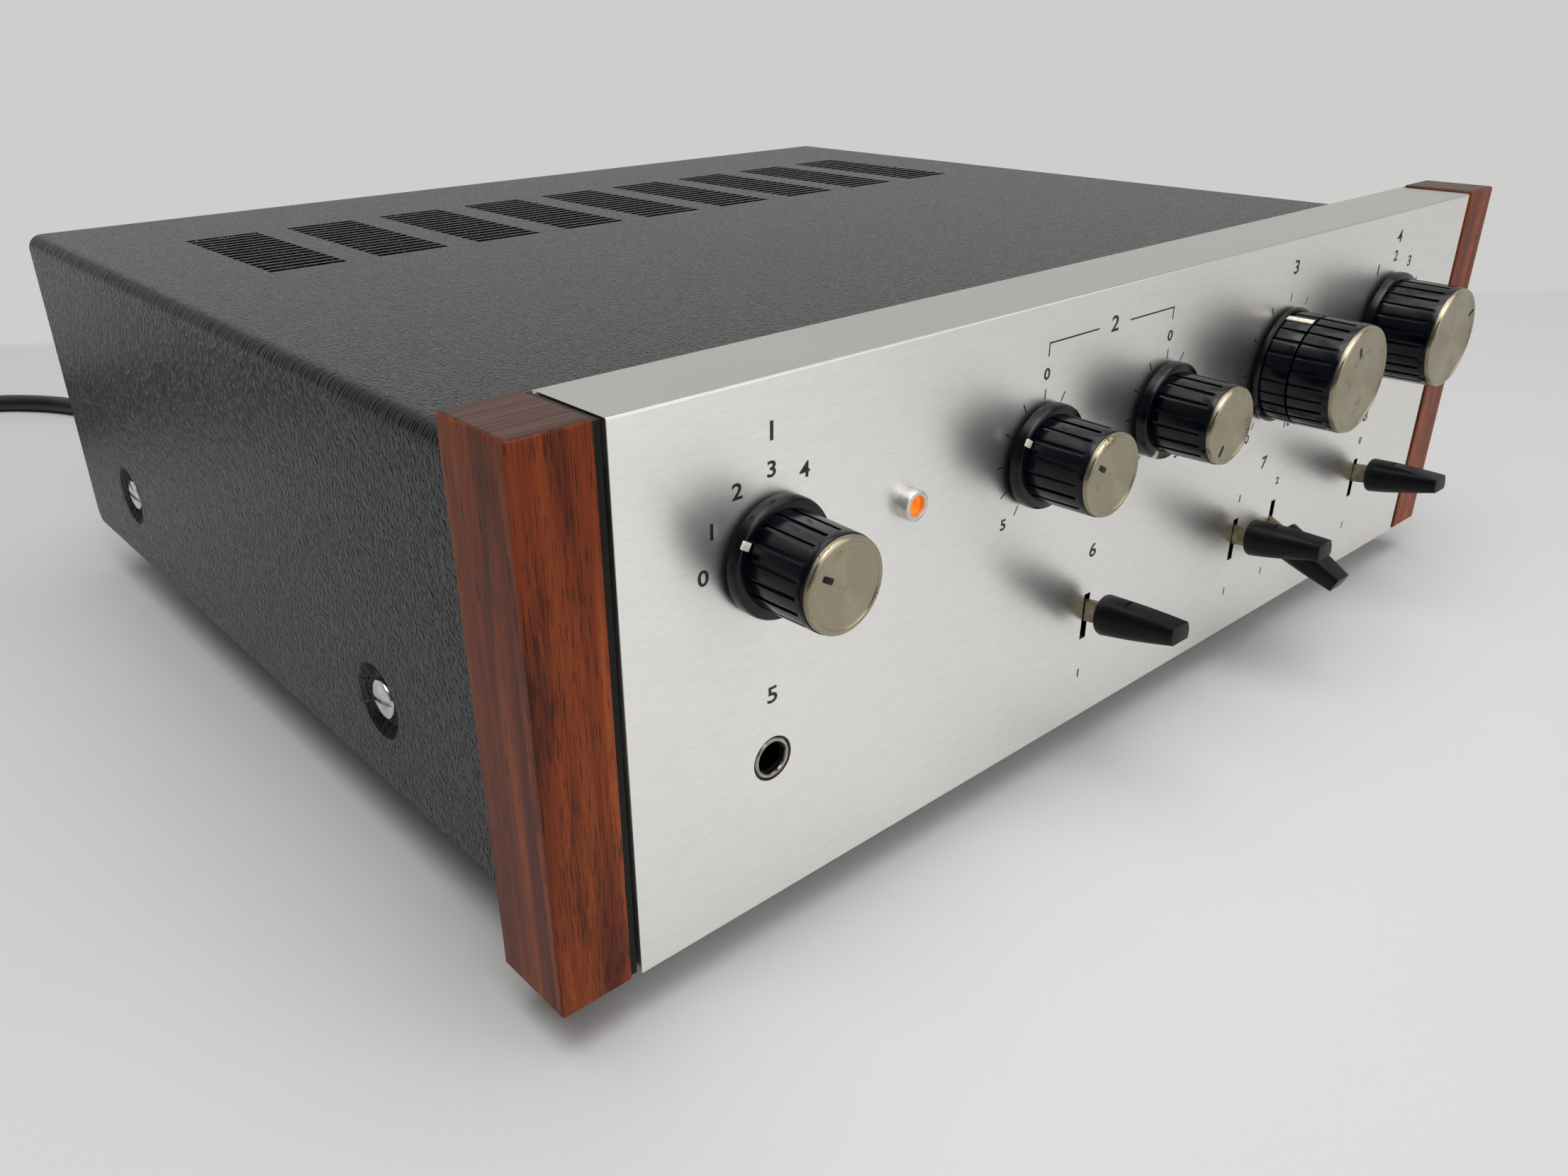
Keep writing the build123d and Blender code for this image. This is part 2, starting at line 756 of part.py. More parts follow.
large_sizes = (large_skirt, large_skirt_thickness, large_grip, large_grip_front, large_length, large_ribs)
keep(knob(selector_x, *large_sizes, selector_index), "selector_knob")
keep(knob_cap(selector_x, large_cap, large_length, selector_index, large_cap * 0.82), "selector_knob_cap")
keep(shaft(selector_x, shaft_radius, large_length - shaft_cover, switch_shaft_end), "selector_shaft")

# balance ring on the hollow shaft
ring_plane = control(volume_x)
ring_start = knob_gap + balance_skirt_thickness
ring_grip = grip(ring_plane, ring_start, balance_length - ring_start, large_grip, large_grip, large_ribs)
with BuildPart() as balance_ring:
    with BuildSketch(ring_plane.offset(knob_gap)):
        Circle(balance_skirt)
    extrude(amount=balance_skirt_thickness)
    add(ring_grip)
    # seat of the white index bar along the grip
    bar = clock(large_grip, balance_index)
    with BuildSketch(ring_plane.offset(ring_start)):
        with Locations(Location((bar[0], bar[1], 0), (0, 0, -balance_index))):
            Rectangle(index_width, 2 * mark_depth)
    extrude(amount=index_bar_length, mode=Mode.SUBTRACT)
    with BuildSketch(ring_plane.offset(knob_gap)):
        Circle(shaft_radius + knob_bore_gap)
    extrude(amount=balance_length, mode=Mode.SUBTRACT)
keep(balance_ring, "balance_ring")

volume_start = balance_length + ring_gap
volume_grip = grip(
    ring_plane, volume_start, volume_length - volume_start, large_grip, large_grip_front, large_ribs
)
with BuildPart() as volume_knob:
    add(volume_grip)
    with BuildSketch(ring_plane.offset(volume_start)):
        Circle(inner_shaft_radius + knob_bore_gap)
    extrude(amount=volume_length - volume_start - cap_cover, mode=Mode.SUBTRACT)
keep(volume_knob, "volume_knob")
keep(knob_cap(volume_x, large_cap, volume_length, volume_index, large_cap * 0.58), "volume_knob_cap")

balance_shaft_end = subpanel_back + volume_pot_front - 2
volume_shaft_end = subpanel_back + volume_pot_front + volume_pot_neck[1] + pot_depth - 2
keep(
    shaft(volume_x, shaft_radius, balance_length - 1, balance_shaft_end, inner_shaft_radius + running_gap),
    "balance_shaft",
)
keep(shaft(volume_x, inner_shaft_radius, volume_length - shaft_cover, volume_shaft_end), "volume_shaft")


# ================= switches and controls behind the panel =================
bush_length = bush_reach + subpanel_back
with BuildPart() as rotary_switches:
    for x in (speaker_x, selector_x):
        plane = control(x)
        with BuildSketch(plane.offset(bush_reach)):
            Circle(bush_radius)
        extrude(amount=-bush_length)
        with BuildSketch(plane.offset(-subpanel_back)):
            Rectangle(*switch_plate)
        extrude(amount=-switch_plate_thickness)
        plate_back = subpanel_back + switch_plate_thickness
        with BuildSketch(plane.offset(-plate_back)):
            Circle(switch_body_radius)
        extrude(amount=-switch_body_depth)
        for wafer in wafer_depths:
            with BuildSketch(plane.offset(-wafer)):
                Circle(wafer_radius)
            extrude(amount=-wafer_thickness)
        # posts that hold the wafers
        with BuildSketch(plane.offset(-plate_back)):
            with Locations((-switch_post_offset, 0), (switch_post_offset, 0)):
                Circle(switch_post_radius)
        extrude(amount=plate_back - wafer_depths[-1] - 2 * wafer_thickness)
        with BuildSketch(plane.offset(bush_reach)):
            Circle(shaft_radius + running_gap)
        extrude(amount=-bush_reach - switch_shaft_end - 2, mode=Mode.SUBTRACT)
keep(rotary_switches, "rotary_switches")

with BuildPart() as tone_controls:
    for x in (bass_x, treble_x):
        plane = control(x)
        with BuildSketch(plane.offset(bush_reach)):
            Circle(bush_radius)
        extrude(amount=-bush_length)
        with BuildSketch(plane.offset(-subpanel_back)):
            Circle(tone_pot_radius)
            with Locations((0, -tone_pot_radius)):
                Rectangle(*tone_lug)
        extrude(amount=-pot_depth)
        with BuildSketch(plane.offset(bush_reach)):
            Circle(shaft_radius + running_gap)
        extrude(amount=-bush_reach - pot_shaft_end - shaft_end_gap, mode=Mode.SUBTRACT)
keep(tone_controls, "tone_controls")

with BuildPart() as volume_control:
    plane = control(volume_x)
    with BuildSketch(plane.offset(bush_reach)):
        Circle(bush_radius)
    extrude(amount=-bush_length)
    neck_radius, neck_length = volume_pot_neck
    with BuildSketch(plane.offset(-subpanel_back)):
        Circle(volume_pot_radius)
    extrude(amount=-volume_pot_front)
    with BuildSketch(plane.offset(-subpanel_back - volume_pot_front)):
        Circle(neck_radius)
    extrude(amount=-neck_length)
    with BuildSketch(plane.offset(-subpanel_back - volume_pot_front - neck_length)):
        Circle(volume_pot_radius)
    extrude(amount=-pot_depth)
    with BuildSketch(plane.offset(bush_reach)):
        Circle(shaft_radius + running_gap)
    extrude(amount=-bush_reach - balance_shaft_end - shaft_end_gap, mode=Mode.SUBTRACT)
    with BuildSketch(plane.offset(bush_reach)):
        Circle(inner_shaft_radius + running_gap)
    extrude(amount=-bush_reach - volume_shaft_end - shaft_end_gap, mode=Mode.SUBTRACT)
keep(volume_control, "volume_control")

with BuildPart() as control_nuts:
    with BuildSketch(front.offset(nut_thickness - plate_web)):
        with Locations(*control_places):
            RegularPolygon(nut_flats / 2, 6, major_radius=False)
            Circle(bush_radius + running_gap, mode=Mode.SUBTRACT)
    extrude(amount=-nut_thickness)
keep(control_nuts, "control_nuts")


# ================= lever switches =================
def lever_plane(x, angle):
    """Plane at a lever's pivot, its normal out along the lever, its y upwards."""
    out = (0, -cos(radians(angle)), sin(radians(angle)))
    return Plane(origin=(x, face + pivot_depth, pivot_height), x_dir=(1, 0, 0), z_dir=out)


def lever_blade(x, angle):
    plane = lever_plane(x, angle)
    with BuildPart() as blade:
        with BuildSketch(plane.offset(-blade_tail)):
            Rectangle(blade_thickness, blade_height)
        extrude(amount=blade_tail + cap_start + blade_in_cap)
        pin_plane = Plane(origin=plane.origin, x_dir=(0, 1, 0), z_dir=(1, 0, 0))
        with BuildSketch(pin_plane.offset(-blade_thickness)):
            Circle(pivot_pin + running_gap)
        extrude(amount=2 * blade_thickness, mode=Mode.SUBTRACT)
    return blade


def lever_cap(x, angle):
    plane = lever_plane(x, angle)
    wedge_share = lever_cap_wedge / (lever_length - cap_start)
    wedge_radius = lever_cap_radius + wedge_share * (lever_tip_width / 2 - lever_cap_radius)
    flank = Plane(origin=plane.origin, x_dir=plane.z_dir, z_dir=-plane.x_dir)
    with BuildPart() as cap:
        with BuildSketch(plane.offset(cap_start)):
            Circle(lever_cap_radius)
        with BuildSketch(plane.offset(lever_length)):
            Circle(lever_tip_width / 2)
        loft()
        along = Axis(plane.origin, plane.z_dir)
        chamfer(cap.faces().sort_by(along)[0].edges(), lever_cap_edge)
        # the two flats that make the paddle
        with BuildSketch(flank.offset(-2 * lever_cap_radius)):
            for up in (-1, 1):
                with BuildLine():
                    Polyline(
                        (cap_start + lever_cap_wedge, up * (wedge_radius - lever_cap_step)),
                        (lever_length + 1, up * lever_tip_height / 2),
                        (lever_length + 1, up * 3 * lever_cap_radius),
                        (cap_start + lever_cap_wedge, up * 3 * lever_cap_radius),
                        close=True,
                    )
                make_face()
        extrude(amount=4 * lever_cap_radius, mode=Mode.SUBTRACT)
        chamfer(cap.faces().sort_by(along)[-1].edges(), lever_tip_edge)
        with BuildSketch(plane.offset(cap_start)):
            Rectangle(blade_thickness + 2 * knob_bore_gap, blade_height + 2 * knob_bore_gap)
        extrude(amount=blade_in_cap + knob_bore_gap, mode=Mode.SUBTRACT)
    return cap


for name, x in lever_x.items():
    keep(lever_blade(x, lever_angle[name]), f"{name}_lever")
    keep(lever_cap(x, lever_angle[name]), f"{name}_lever_cap")

with BuildPart() as lever_switches:
    for x in lever_x.values():
        with BuildSketch(front.offset(-subpanel_back)):
            with Locations((x, pivot_height)):
                Rectangle(switch_width, switch_height)
        extrude(amount=-switch_depth)
        with BuildSketch(front.offset(-subpanel_back)):
            with Locations((x, pivot_height)):
                Rectangle(slot_width, slot_length + slot_play)
        extrude(amount=-switch_cavity_depth, mode=Mode.SUBTRACT)
        with BuildSketch(side.offset(x - slot_width)):
            with Locations((pivot_depth, pivot_height)):
                Circle(pivot_pin)
        extrude(amount=2 * slot_width)
keep(lever_switches, "lever_switches")

# ================= lamp and phones jack =================
lamp_plane = control(lamp_x)
with BuildPart() as lamp_bezel:
    with BuildSketch(lamp_plane):
        Circle(bezel_radius)
    extrude(amount=bezel_length)
    chamfer(lamp_bezel.faces().sort_by(Axis.Y)[0].edges(), bezel_edge)
    with BuildSketch(lamp_plane):
        Circle(bezel_sleeve)
    extrude(amount=-bezel_sleeve_length)
    with BuildSketch(lamp_plane.offset(bezel_length)):
        Circle(lens_radius + touch_gap / 4)
    extrude(amount=-bezel_length - bezel_sleeve_length, mode=Mode.SUBTRACT)
keep(lamp_bezel, "lamp_bezel")

with BuildPart() as lamp_lens:
    with BuildSketch(lamp_plane.offset(bezel_length - lens_inset)):
        Circle(lens_radius)
    extrude(amount=-lens_length)
    fillet(lamp_lens.faces().sort_by(Axis.Y)[0].edges(), 0.5)
keep(lamp_lens, "lamp_lens")

with BuildPart() as pilot_lamp:
    lens_back = bezel_length - lens_inset - lens_length
    with BuildSketch(lamp_plane.offset(lens_back)):
        Circle(bulb_radius)
    extrude(amount=-bulb_length)
    fillet(pilot_lamp.faces().sort_by(Axis.Y)[0].edges(), 0.6)
    # holder clipped on the bezel's sleeve
    with BuildSketch(lamp_plane.offset(-bezel_sleeve_length)):
        Circle(bezel_sleeve + lamp_holder[0])
    extrude(amount=-lamp_holder[1])
keep(pilot_lamp, "pilot_lamp")

jack_plane = control(speaker_x, jack_height)
with BuildPart() as phones_jack:
    with BuildSketch(jack_plane.offset(-jack_ring_inset)):
        Circle(jack_ring_radius)
    extrude(amount=jack_ring_inset - subpanel_back)
    fillet(phones_jack.faces().sort_by(Axis.Y)[0].edges(), 0.35)
    with BuildSketch(jack_plane.offset(-subpanel_back)):
        Rectangle(jack_body[0], jack_body[1])
    extrude(amount=-jack_body[2])
    with BuildSketch(jack_plane.offset(-jack_ring_inset)):
        Circle(jack_bore)
    extrude(amount=-jack_bore_length, mode=Mode.SUBTRACT)
keep(phones_jack, "phones_jack")

# ================= inside =================
core_base = pan_floor + core_lug_thickness
transformer_plane = Plane(
    origin=(transformer_x, face + transformer_y, core_base), x_dir=(1, 0, 0), z_dir=(0, -1, 0)
)
core_front = transformer_plane.offset(core_depth / 2)
window_height = core_height - 2 * core_yoke
with BuildPart() as transformer_core:
    with BuildSketch(core_front):
        with Locations((0, core_height / 2)):
            Rectangle(core_width, core_height)
            with Locations((-core_leg / 2 - core_window / 2, 0), (core_leg / 2 + core_window / 2, 0)):
                Rectangle(core_window, window_height, mode=Mode.SUBTRACT)
    extrude(amount=-core_depth)
    with BuildSketch(core_front):
        with Locations((0, -core_lug_thickness / 2)):
            Rectangle(core_width + 2 * core_lug, core_lug_thickness)
    extrude(amount=-core_depth)
keep(transformer_core, "transformer_core")

with BuildPart() as transformer_winding:
    with BuildSketch(transformer_plane.offset(core_depth / 2 + coil_overhang)):
        with Locations((0, core_height / 2)):
            Rectangle(core_leg + 2 * core_window - 2 * winding_gap, window_height - 2 * winding_gap)
    extrude(amount=-core_depth - 2 * coil_overhang)
    fillet(transformer_winding.edges().filter_by(Axis.Z), winding_corner)
    with BuildSketch(Plane.XY.offset(core_base)):
        with Locations((transformer_x, face + transformer_y)):
            Rectangle(core_leg + 2 * winding_gap, core_depth + 2 * winding_gap)
    extrude(amount=core_height, mode=Mode.SUBTRACT)
keep(transformer_winding, "transformer_winding")

board_z = pan_floor + board_standoff
with BuildPart() as circuit_boards:
    with BuildSketch(Plane.XY.offset(board_z)):
        with Locations(((board_left + board_right) / 2, face + (board_front + board_rear) / 2)):
            Rectangle(board_right - board_left, board_rear - board_front)
    extrude(amount=board_thickness)
    # tone board on the backs of the two tone controls
    with BuildSketch(front.offset(-subpanel_back - pot_depth)):
        with Locations(((bass_x + treble_x) / 2, control_height)):
            Rectangle(treble_x - bass_x + tone_board[0], tone_board[1])
    extrude(amount=-board_thickness)
keep(circuit_boards, "circuit_boards")

with BuildPart() as filter_capacitors:
    with BuildSketch(Plane.XY.offset(board_z + board_thickness)):
        with Locations(*[(x, face + capacitor_y) for x in capacitor_x]):
            Circle(capacitor_radius)
    extrude(amount=capacitor_height)
    chamfer(filter_capacitors.faces().group_by(Axis.Z)[-1].edges(), capacitor_edge)
keep(filter_capacitors, "filter_capacitors")

with BuildPart() as heat_sink:
    sink_width = sink_right - sink_left
    fin_pitch = (sink_width - sink_fin_thickness) / (sink_fins - 1)
    with BuildSketch(Plane.XY.offset(pan_floor)):
        with Locations((sink_middle, face + sink_y + sink_base / 2)):
            Rectangle(sink_width, sink_base)
        with Locations((sink_middle, face + sink_y + sink_base + sink_fin / 2)):
            with GridLocations(fin_pitch, 1, sink_fins, 1):
                Rectangle(sink_fin_thickness, sink_fin)
    extrude(amount=sink_height)
keep(heat_sink, "heat_sink")

with BuildPart() as output_transistors:
    flange_height, flange_width, flange_thickness = transistor_flange
    transistor_places = [(sink_middle + x, pan_floor + transistor_height) for x in transistor_offsets]
    with BuildSketch(front.offset(-sink_y)):
        with Locations(*transistor_places):
            SlotOverall(flange_height, flange_width, rotation=90)
    extrude(amount=flange_thickness)
    with BuildSketch(front.offset(flange_thickness - sink_y)):
        with Locations(*transistor_places):
            Circle(transistor_can[0])
    extrude(amount=transistor_can[1])
keep(output_transistors, "output_transistors")

# ================= rear connectors =================
socket_middle_x = socket_first_x + (socket_columns - 1) * socket_pitch / 2
with BuildPart() as phono_socket_plate:
    with BuildSketch(rear):
        with Locations((socket_middle_x, socket_height + socket_row_pitch / 2)):
            Rectangle(
                (socket_columns - 1) * socket_pitch + 2 * socket_plate_margin,
                socket_row_pitch + 2 * socket_plate_margin,
            )
    extrude(amount=socket_plate)
keep(phono_socket_plate, "phono_socket_plate")

with BuildPart() as phono_sockets:
    with BuildSketch(rear):
        with Locations(*socket_places):
            Circle(socket_flange)
    extrude(amount=-sheet)
    with BuildSketch(rear):
        with Locations(*socket_places):
            Circle(socket_radius)
    extrude(amount=-socket_length - socket_plate)
    with BuildSketch(rear):
        with Locations(*socket_places):
            Circle(socket_bore)
    extrude(amount=-socket_length - socket_plate, mode=Mode.SUBTRACT)
keep(phono_sockets, "phono_sockets")

with BuildPart() as speaker_terminals:
    way_pitch = terminal_width / terminal_ways
    ways = [(i - (terminal_ways - 1) / 2) * way_pitch for i in range(terminal_ways)]
    outside = front.offset(-panel_back)
    with BuildSketch(outside):
        with Locations(*[(x, terminal_z) for x in terminal_x]):
            Rectangle(terminal_width, terminal_height)
    extrude(amount=-terminal_base)
    # sprung push tabs above the wire holes
    with BuildSketch(outside.offset(-terminal_base)):
        with Locations(*[(x + w, terminal_z + tab_rise) for x in terminal_x for w in ways]):
            Rectangle(way_pitch - tab_gap, terminal_height / 2)
    extrude(amount=terminal_base - terminal_depth)
    with BuildSketch(outside.offset(-terminal_base)):
        with Locations(*[(x + w, terminal_z - wire_drop) for x in terminal_x for w in ways]):
            Circle(wire_bore)
    extrude(amount=wire_depth, mode=Mode.SUBTRACT)
    # body behind the panel
    with BuildSketch(outside):
        with Locations(*[(x, terminal_z) for x in terminal_x]):
            Rectangle(
                terminal_width - 2 * terminal_lip - touch_gap,
                terminal_height - 2 * terminal_lip - touch_gap,
            )
    extrude(amount=terminal_body)
keep(speaker_terminals, "speaker_terminals")

with BuildPart() as fuse_holder:
    with BuildSketch(front.offset(-panel_back)):
        with Locations((fuse_x, fuse_z)):
            Circle(fuse_cap_radius)
    extrude(amount=-fuse_cap_length)
    with BuildSketch(front.offset(-panel_back - fuse_cap_length)):
        with Locations((fuse_x, fuse_z)):
            Rectangle(fuse_slot[0], fuse_slot[1])
    extrude(amount=fuse_slot[2], mode=Mode.SUBTRACT)
    with BuildSketch(front.offset(-panel_back)):
        with Locations((fuse_x, fuse_z)):
            Circle(fuse_cap_radius - panel_lip - touch_gap / 2)
    extrude(amount=fuse_body_length)
keep(fuse_holder, "fuse_holder")

with BuildPart() as ground_post:
    with BuildSketch(front.offset(-panel_back)):
        with Locations((ground_x, ground_z)):
            Circle(ground_nut)
    extrude(amount=-ground_nut_length)
    with BuildSketch(front.offset(ground_tail - panel_back)):
        with Locations((ground_x, ground_z)):
            Circle(ground_stud)
    extrude(amount=-ground_tail - ground_length)
keep(ground_post, "ground_post")

# ================= mains lead =================
lead = Plane(origin=(cord_x, face + panel_back, cord_z), x_dir=(-1, 0, 0), z_dir=(0, 1, 0))
with BuildPart() as cord_relief:
    with BuildSketch(lead):
        Circle(relief_flange[0])
    extrude(amount=relief_flange[1])
    with BuildSketch(lead.offset(relief_flange[1])):
        Circle(relief_root)
    with BuildSketch(lead.offset(relief_length)):
        Circle(relief_tip)
    loft()
    with BuildSketch(lead):
        Circle(relief_root - panel_lip - touch_gap / 2)
    extrude(amount=-relief_neck)
keep(cord_relief, "cord_relief")

# the lead's free route: out of the relief, down to the floor, round to the coil at the left
lead_height = cord_diameter / 2 + 0.1
lead_route = [
    (cord_x, face + panel_back + relief_length, cord_z),
    (cord_x, face + 325.0, cord_z),
    (-100.5, face + 355.0, 31.5),
    (-102.0, face + 385.0, 13.5),
    (-105.0, face + 416.0, lead_height),
    (-112.0, face + 446.0, lead_height),
    (-125.0, face + 474.0, lead_height),
    (-147.0, face + 495.0, lead_height),
    (-175.0, face + 501.0, lead_height),
    (-200.0, face + 493.0, lead_height),
    (-220.7, face + 484.0, lead_height),
]


def corner_radii(points):
    """Largest tangent arc that fits each corner of a route."""
    radii = []
    for before, corner, after in zip(points, points[1:], points[2:]):
        run_in = Vector(*corner) - Vector(*before)
        run_out = Vector(*after) - Vector(*corner)
        turn = radians(run_in.get_angle(run_out))
        radii.append(0.45 * min(run_in.length, run_out.length) / tan(turn / 2))
    return radii


lead_radii = corner_radii(lead_route)
with BuildPart() as mains_cord:
    with BuildLine() as lead_line:
        FilletPolyline(*lead_route, radius=lead_radii)
    with BuildSketch(Plane(origin=lead_line.line @ 0, z_dir=lead_line.line % 0)):
        Circle(cord_diameter / 2)
    sweep()
keep(mains_cord, "mains_cord")
coil_length = 2 * pi * coil_turn_radius * coil_turns_wide * coil_turns_high
section = pi * cord_diameter**2 / 4
print("corner radii", [round(r, 1) for r in lead_radii])
lead_length = lead_line.wires()[0].length
print("lead", round(lead_length, 1), "coil", round(coil_length, 1))
print("tube volume", round(mains_cord.part.volume, 1), "section x length", round(section * lead_length, 1))

with BuildPart() as cord_coil:
    coil_outer = coil_turn_radius + coil_turns_wide * cord_diameter / 2
    coil_inner = coil_turn_radius - coil_turns_wide * cord_diameter / 2
    with BuildSketch(Plane.XY):
        with Locations((coil_centre[0], face + coil_centre[1])):
            Circle(coil_outer)
            Circle(coil_inner, mode=Mode.SUBTRACT)
    extrude(amount=coil_turns_high * cord_diameter)
    chamfer(cord_coil.edges(), cord_diameter / 4)
keep(cord_coil, "cord_coil")

# the plug lies beside the coil, its sleeve against the outer turn
plug_x = coil_centre[0] - coil_turn_radius - cord_diameter / 2
plug_back = coil_centre[1] - plug_setback
plug_plane = Plane(origin=(plug_x, face + plug_back, plug_height / 2), x_dir=(1, 0, 0), z_dir=(0, -1, 0))
with BuildPart() as mains_plug:
    with BuildSketch(plug_plane.offset(-plug_sleeve_tail[1])):
        Circle(plug_sleeve_tail[0])
    with BuildSketch(plug_plane.offset(plug_sleeve_length)):
        Circle(plug_sleeve)
    loft()
    with BuildSketch(plug_plane.offset(plug_sleeve_length)):
        RectangleRounded(plug_width * plug_shoulder, plug_height, plug_height / 2 - 0.1)
    with BuildSketch(plug_plane.offset(plug_sleeve_length + plug_length)):
        RectangleRounded(plug_width, plug_height, plug_height / 2 - 0.1)
    loft()
    with BuildSketch(plug_plane.offset(plug_sleeve_length + plug_length)):
        with Locations((-plug_pin_pitch / 2, 0), (plug_pin_pitch / 2, 0)):
            Circle(plug_pin_radius)
    extrude(amount=plug_pin_length)
keep(mains_plug, "mains_plug")
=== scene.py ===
import bmesh
import bpy
import json
import math
from mathutils import Matrix, Vector


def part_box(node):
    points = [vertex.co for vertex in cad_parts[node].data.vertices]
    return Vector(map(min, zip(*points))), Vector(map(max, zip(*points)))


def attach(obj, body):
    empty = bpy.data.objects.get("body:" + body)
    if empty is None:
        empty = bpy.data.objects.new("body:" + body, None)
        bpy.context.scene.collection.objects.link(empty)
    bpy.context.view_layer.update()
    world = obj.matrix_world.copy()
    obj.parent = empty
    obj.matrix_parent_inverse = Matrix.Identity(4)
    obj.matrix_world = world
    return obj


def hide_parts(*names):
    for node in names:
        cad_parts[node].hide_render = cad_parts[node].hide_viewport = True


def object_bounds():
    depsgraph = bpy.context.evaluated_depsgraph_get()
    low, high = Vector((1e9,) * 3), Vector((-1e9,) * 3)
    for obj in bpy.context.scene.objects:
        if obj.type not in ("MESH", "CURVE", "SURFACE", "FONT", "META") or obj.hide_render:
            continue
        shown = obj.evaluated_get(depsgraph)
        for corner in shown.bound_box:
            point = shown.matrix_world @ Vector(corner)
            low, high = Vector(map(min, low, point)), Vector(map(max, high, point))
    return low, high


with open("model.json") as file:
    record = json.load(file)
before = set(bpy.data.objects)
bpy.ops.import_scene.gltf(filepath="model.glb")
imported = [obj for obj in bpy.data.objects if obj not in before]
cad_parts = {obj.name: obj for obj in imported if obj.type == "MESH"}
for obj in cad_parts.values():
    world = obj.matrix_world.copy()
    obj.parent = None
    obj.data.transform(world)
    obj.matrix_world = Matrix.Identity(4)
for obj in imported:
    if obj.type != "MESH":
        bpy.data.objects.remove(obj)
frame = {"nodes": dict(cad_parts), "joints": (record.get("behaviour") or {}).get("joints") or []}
cadLow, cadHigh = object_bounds()
scene = bpy.context.scene
nodes = frame["nodes"]
pivots = {joint["name"]: Vector(joint["pos_m"]) for joint in frame["joints"]}
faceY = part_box("faceplate")[0].y  # front of the plate
print("frame loaded:", len(nodes), "nodes")


def mm(value):
    return value / 1000


def clearSelection():
    if bpy.context.object and bpy.context.object.mode != "OBJECT":
        bpy.ops.object.mode_set(mode="OBJECT")
    bpy.ops.object.select_all(action="DESELECT")


def pick(piece):
    clearSelection()
    piece.select_set(True)
    bpy.context.view_layer.objects.active = piece


cameraPlan = {
    "home": (-0.24311, faceY - 0.13914, 0.16603),
    "turn": (63.457, 0.644, -41.313),  # degrees
    "lens": 28.36, "shift": (0.02225, 0.01242),
}
camera = bpy.data.objects.new("camera", bpy.data.cameras.new("camera"))
scene.collection.objects.link(camera)
camera.data.lens = cameraPlan["lens"]
camera.data.sensor_width = 36
camera.data.sensor_fit = "HORIZONTAL"
camera.data.shift_x, camera.data.shift_y = cameraPlan["shift"]
camera.data.clip_start = 0.01
camera.location = cameraPlan["home"]
camera.rotation_euler = [math.radians(angle) for angle in cameraPlan["turn"]]
scene.camera = camera

leadPlan = {
    "diameter": 7.0,
    "route": [  # millimetres, y behind the front of the plate
        (-100, 299.3, 44), (-100, 325, 44), (-100.5, 355, 31.5), (-102, 385, 13.5),
        (-105, 416, 3.6), (-112, 446, 3.6), (-125, 474, 3.6), (-147, 495, 3.6), (-175, 501, 3.6),
        (-200, 493, 3.6),
    ],
    "coilCentre": (-211.5, 444), "firstAngle": 103,
    "turns": [(41.0, 3.6), (34.0, 3.6), (34.0, 10.6), (34.0, 17.4), (41.0, 17.4), (41.0, 10.6)],
    "pointsPerTurn": 16,
    "climb": 0.3,  # share of a turn in which the lead steps to the next one
    "wander": (0.006, 2.3),  # share of the radius, half waves in a turn
    "plugEnd": [(-252.5, 433, 8.5), (-252.5, 421, 6.9)],
}


def leadPoints(plan):
    points = list(plan["route"])
    perTurn = plan["pointsPerTurn"]
    turns = plan["turns"]
    whole = len(turns) + (180 - plan["firstAngle"]) / 360
    grow = 1 / math.cos(math.pi / perTurn)  # the spline runs inside its points
    count = round(whole * perTurn)
    wander, waves = plan["wander"]
    for step in range(count + 1):
        passed = step / count * whole
        turn = min(int(passed), len(turns) - 1)
        following = min(turn + 1, len(turns) - 1)
        share = min(max((passed - turn - 1) / plan["climb"] + 1, 0), 1)
        share = share * share * (3 - 2 * share)
        radius, height = [a + (b - a) * share for a, b in zip(turns[turn], turns[following])]
        radius *= grow * (1 + wander * math.sin(waves * passed * math.pi))
        angle = math.radians(plan["firstAngle"] + passed * 360)
        x = plan["coilCentre"][0] + radius * math.cos(angle)
        y = plan["coilCentre"][1] + radius * math.sin(angle)
        points.append((x, y, height))
    return [(mm(x), faceY + mm(y), mm(z)) for x, y, z in points + plan["plugEnd"]]


def makeLead(plan):
    curve = bpy.data.curves.new("mains_lead", "CURVE")
    curve.dimensions = "3D"
    spline = curve.splines.new("NURBS")
    places = leadPoints(plan)
    spline.points.add(len(places) - 1)
    for point, place in zip(spline.points, places):
        point.co = (*place, 1)
    spline.order_u = 3
    spline.use_endpoint_u = True
    curve.resolution_u = 6
    curve.bevel_depth = mm(plan["diameter"]) / 2
    curve.bevel_resolution = 5
    curve.use_fill_caps = True
    lead = bpy.data.objects.new("mains_lead", curve)
    scene.collection.objects.link(lead)
    return lead


mainsLead = makeLead(leadPlan)
print("camera and mains lead made")


def linearColour(code):
    parts = [int(code[i : i + 2], 16) / 255 for i in (1, 3, 5)]
    return tuple(c / 12.92 if c <= 0.04045 else ((c + 0.055) / 1.055) ** 2.4 for c in parts) + (1,)


def linkInputs(tree, node, links):
    for key, source in links.items():
        if isinstance(source, bpy.types.Node):
            source = [socket for socket in source.outputs if socket.enabled][0]
        tree.links.new(source, node.inputs[key])


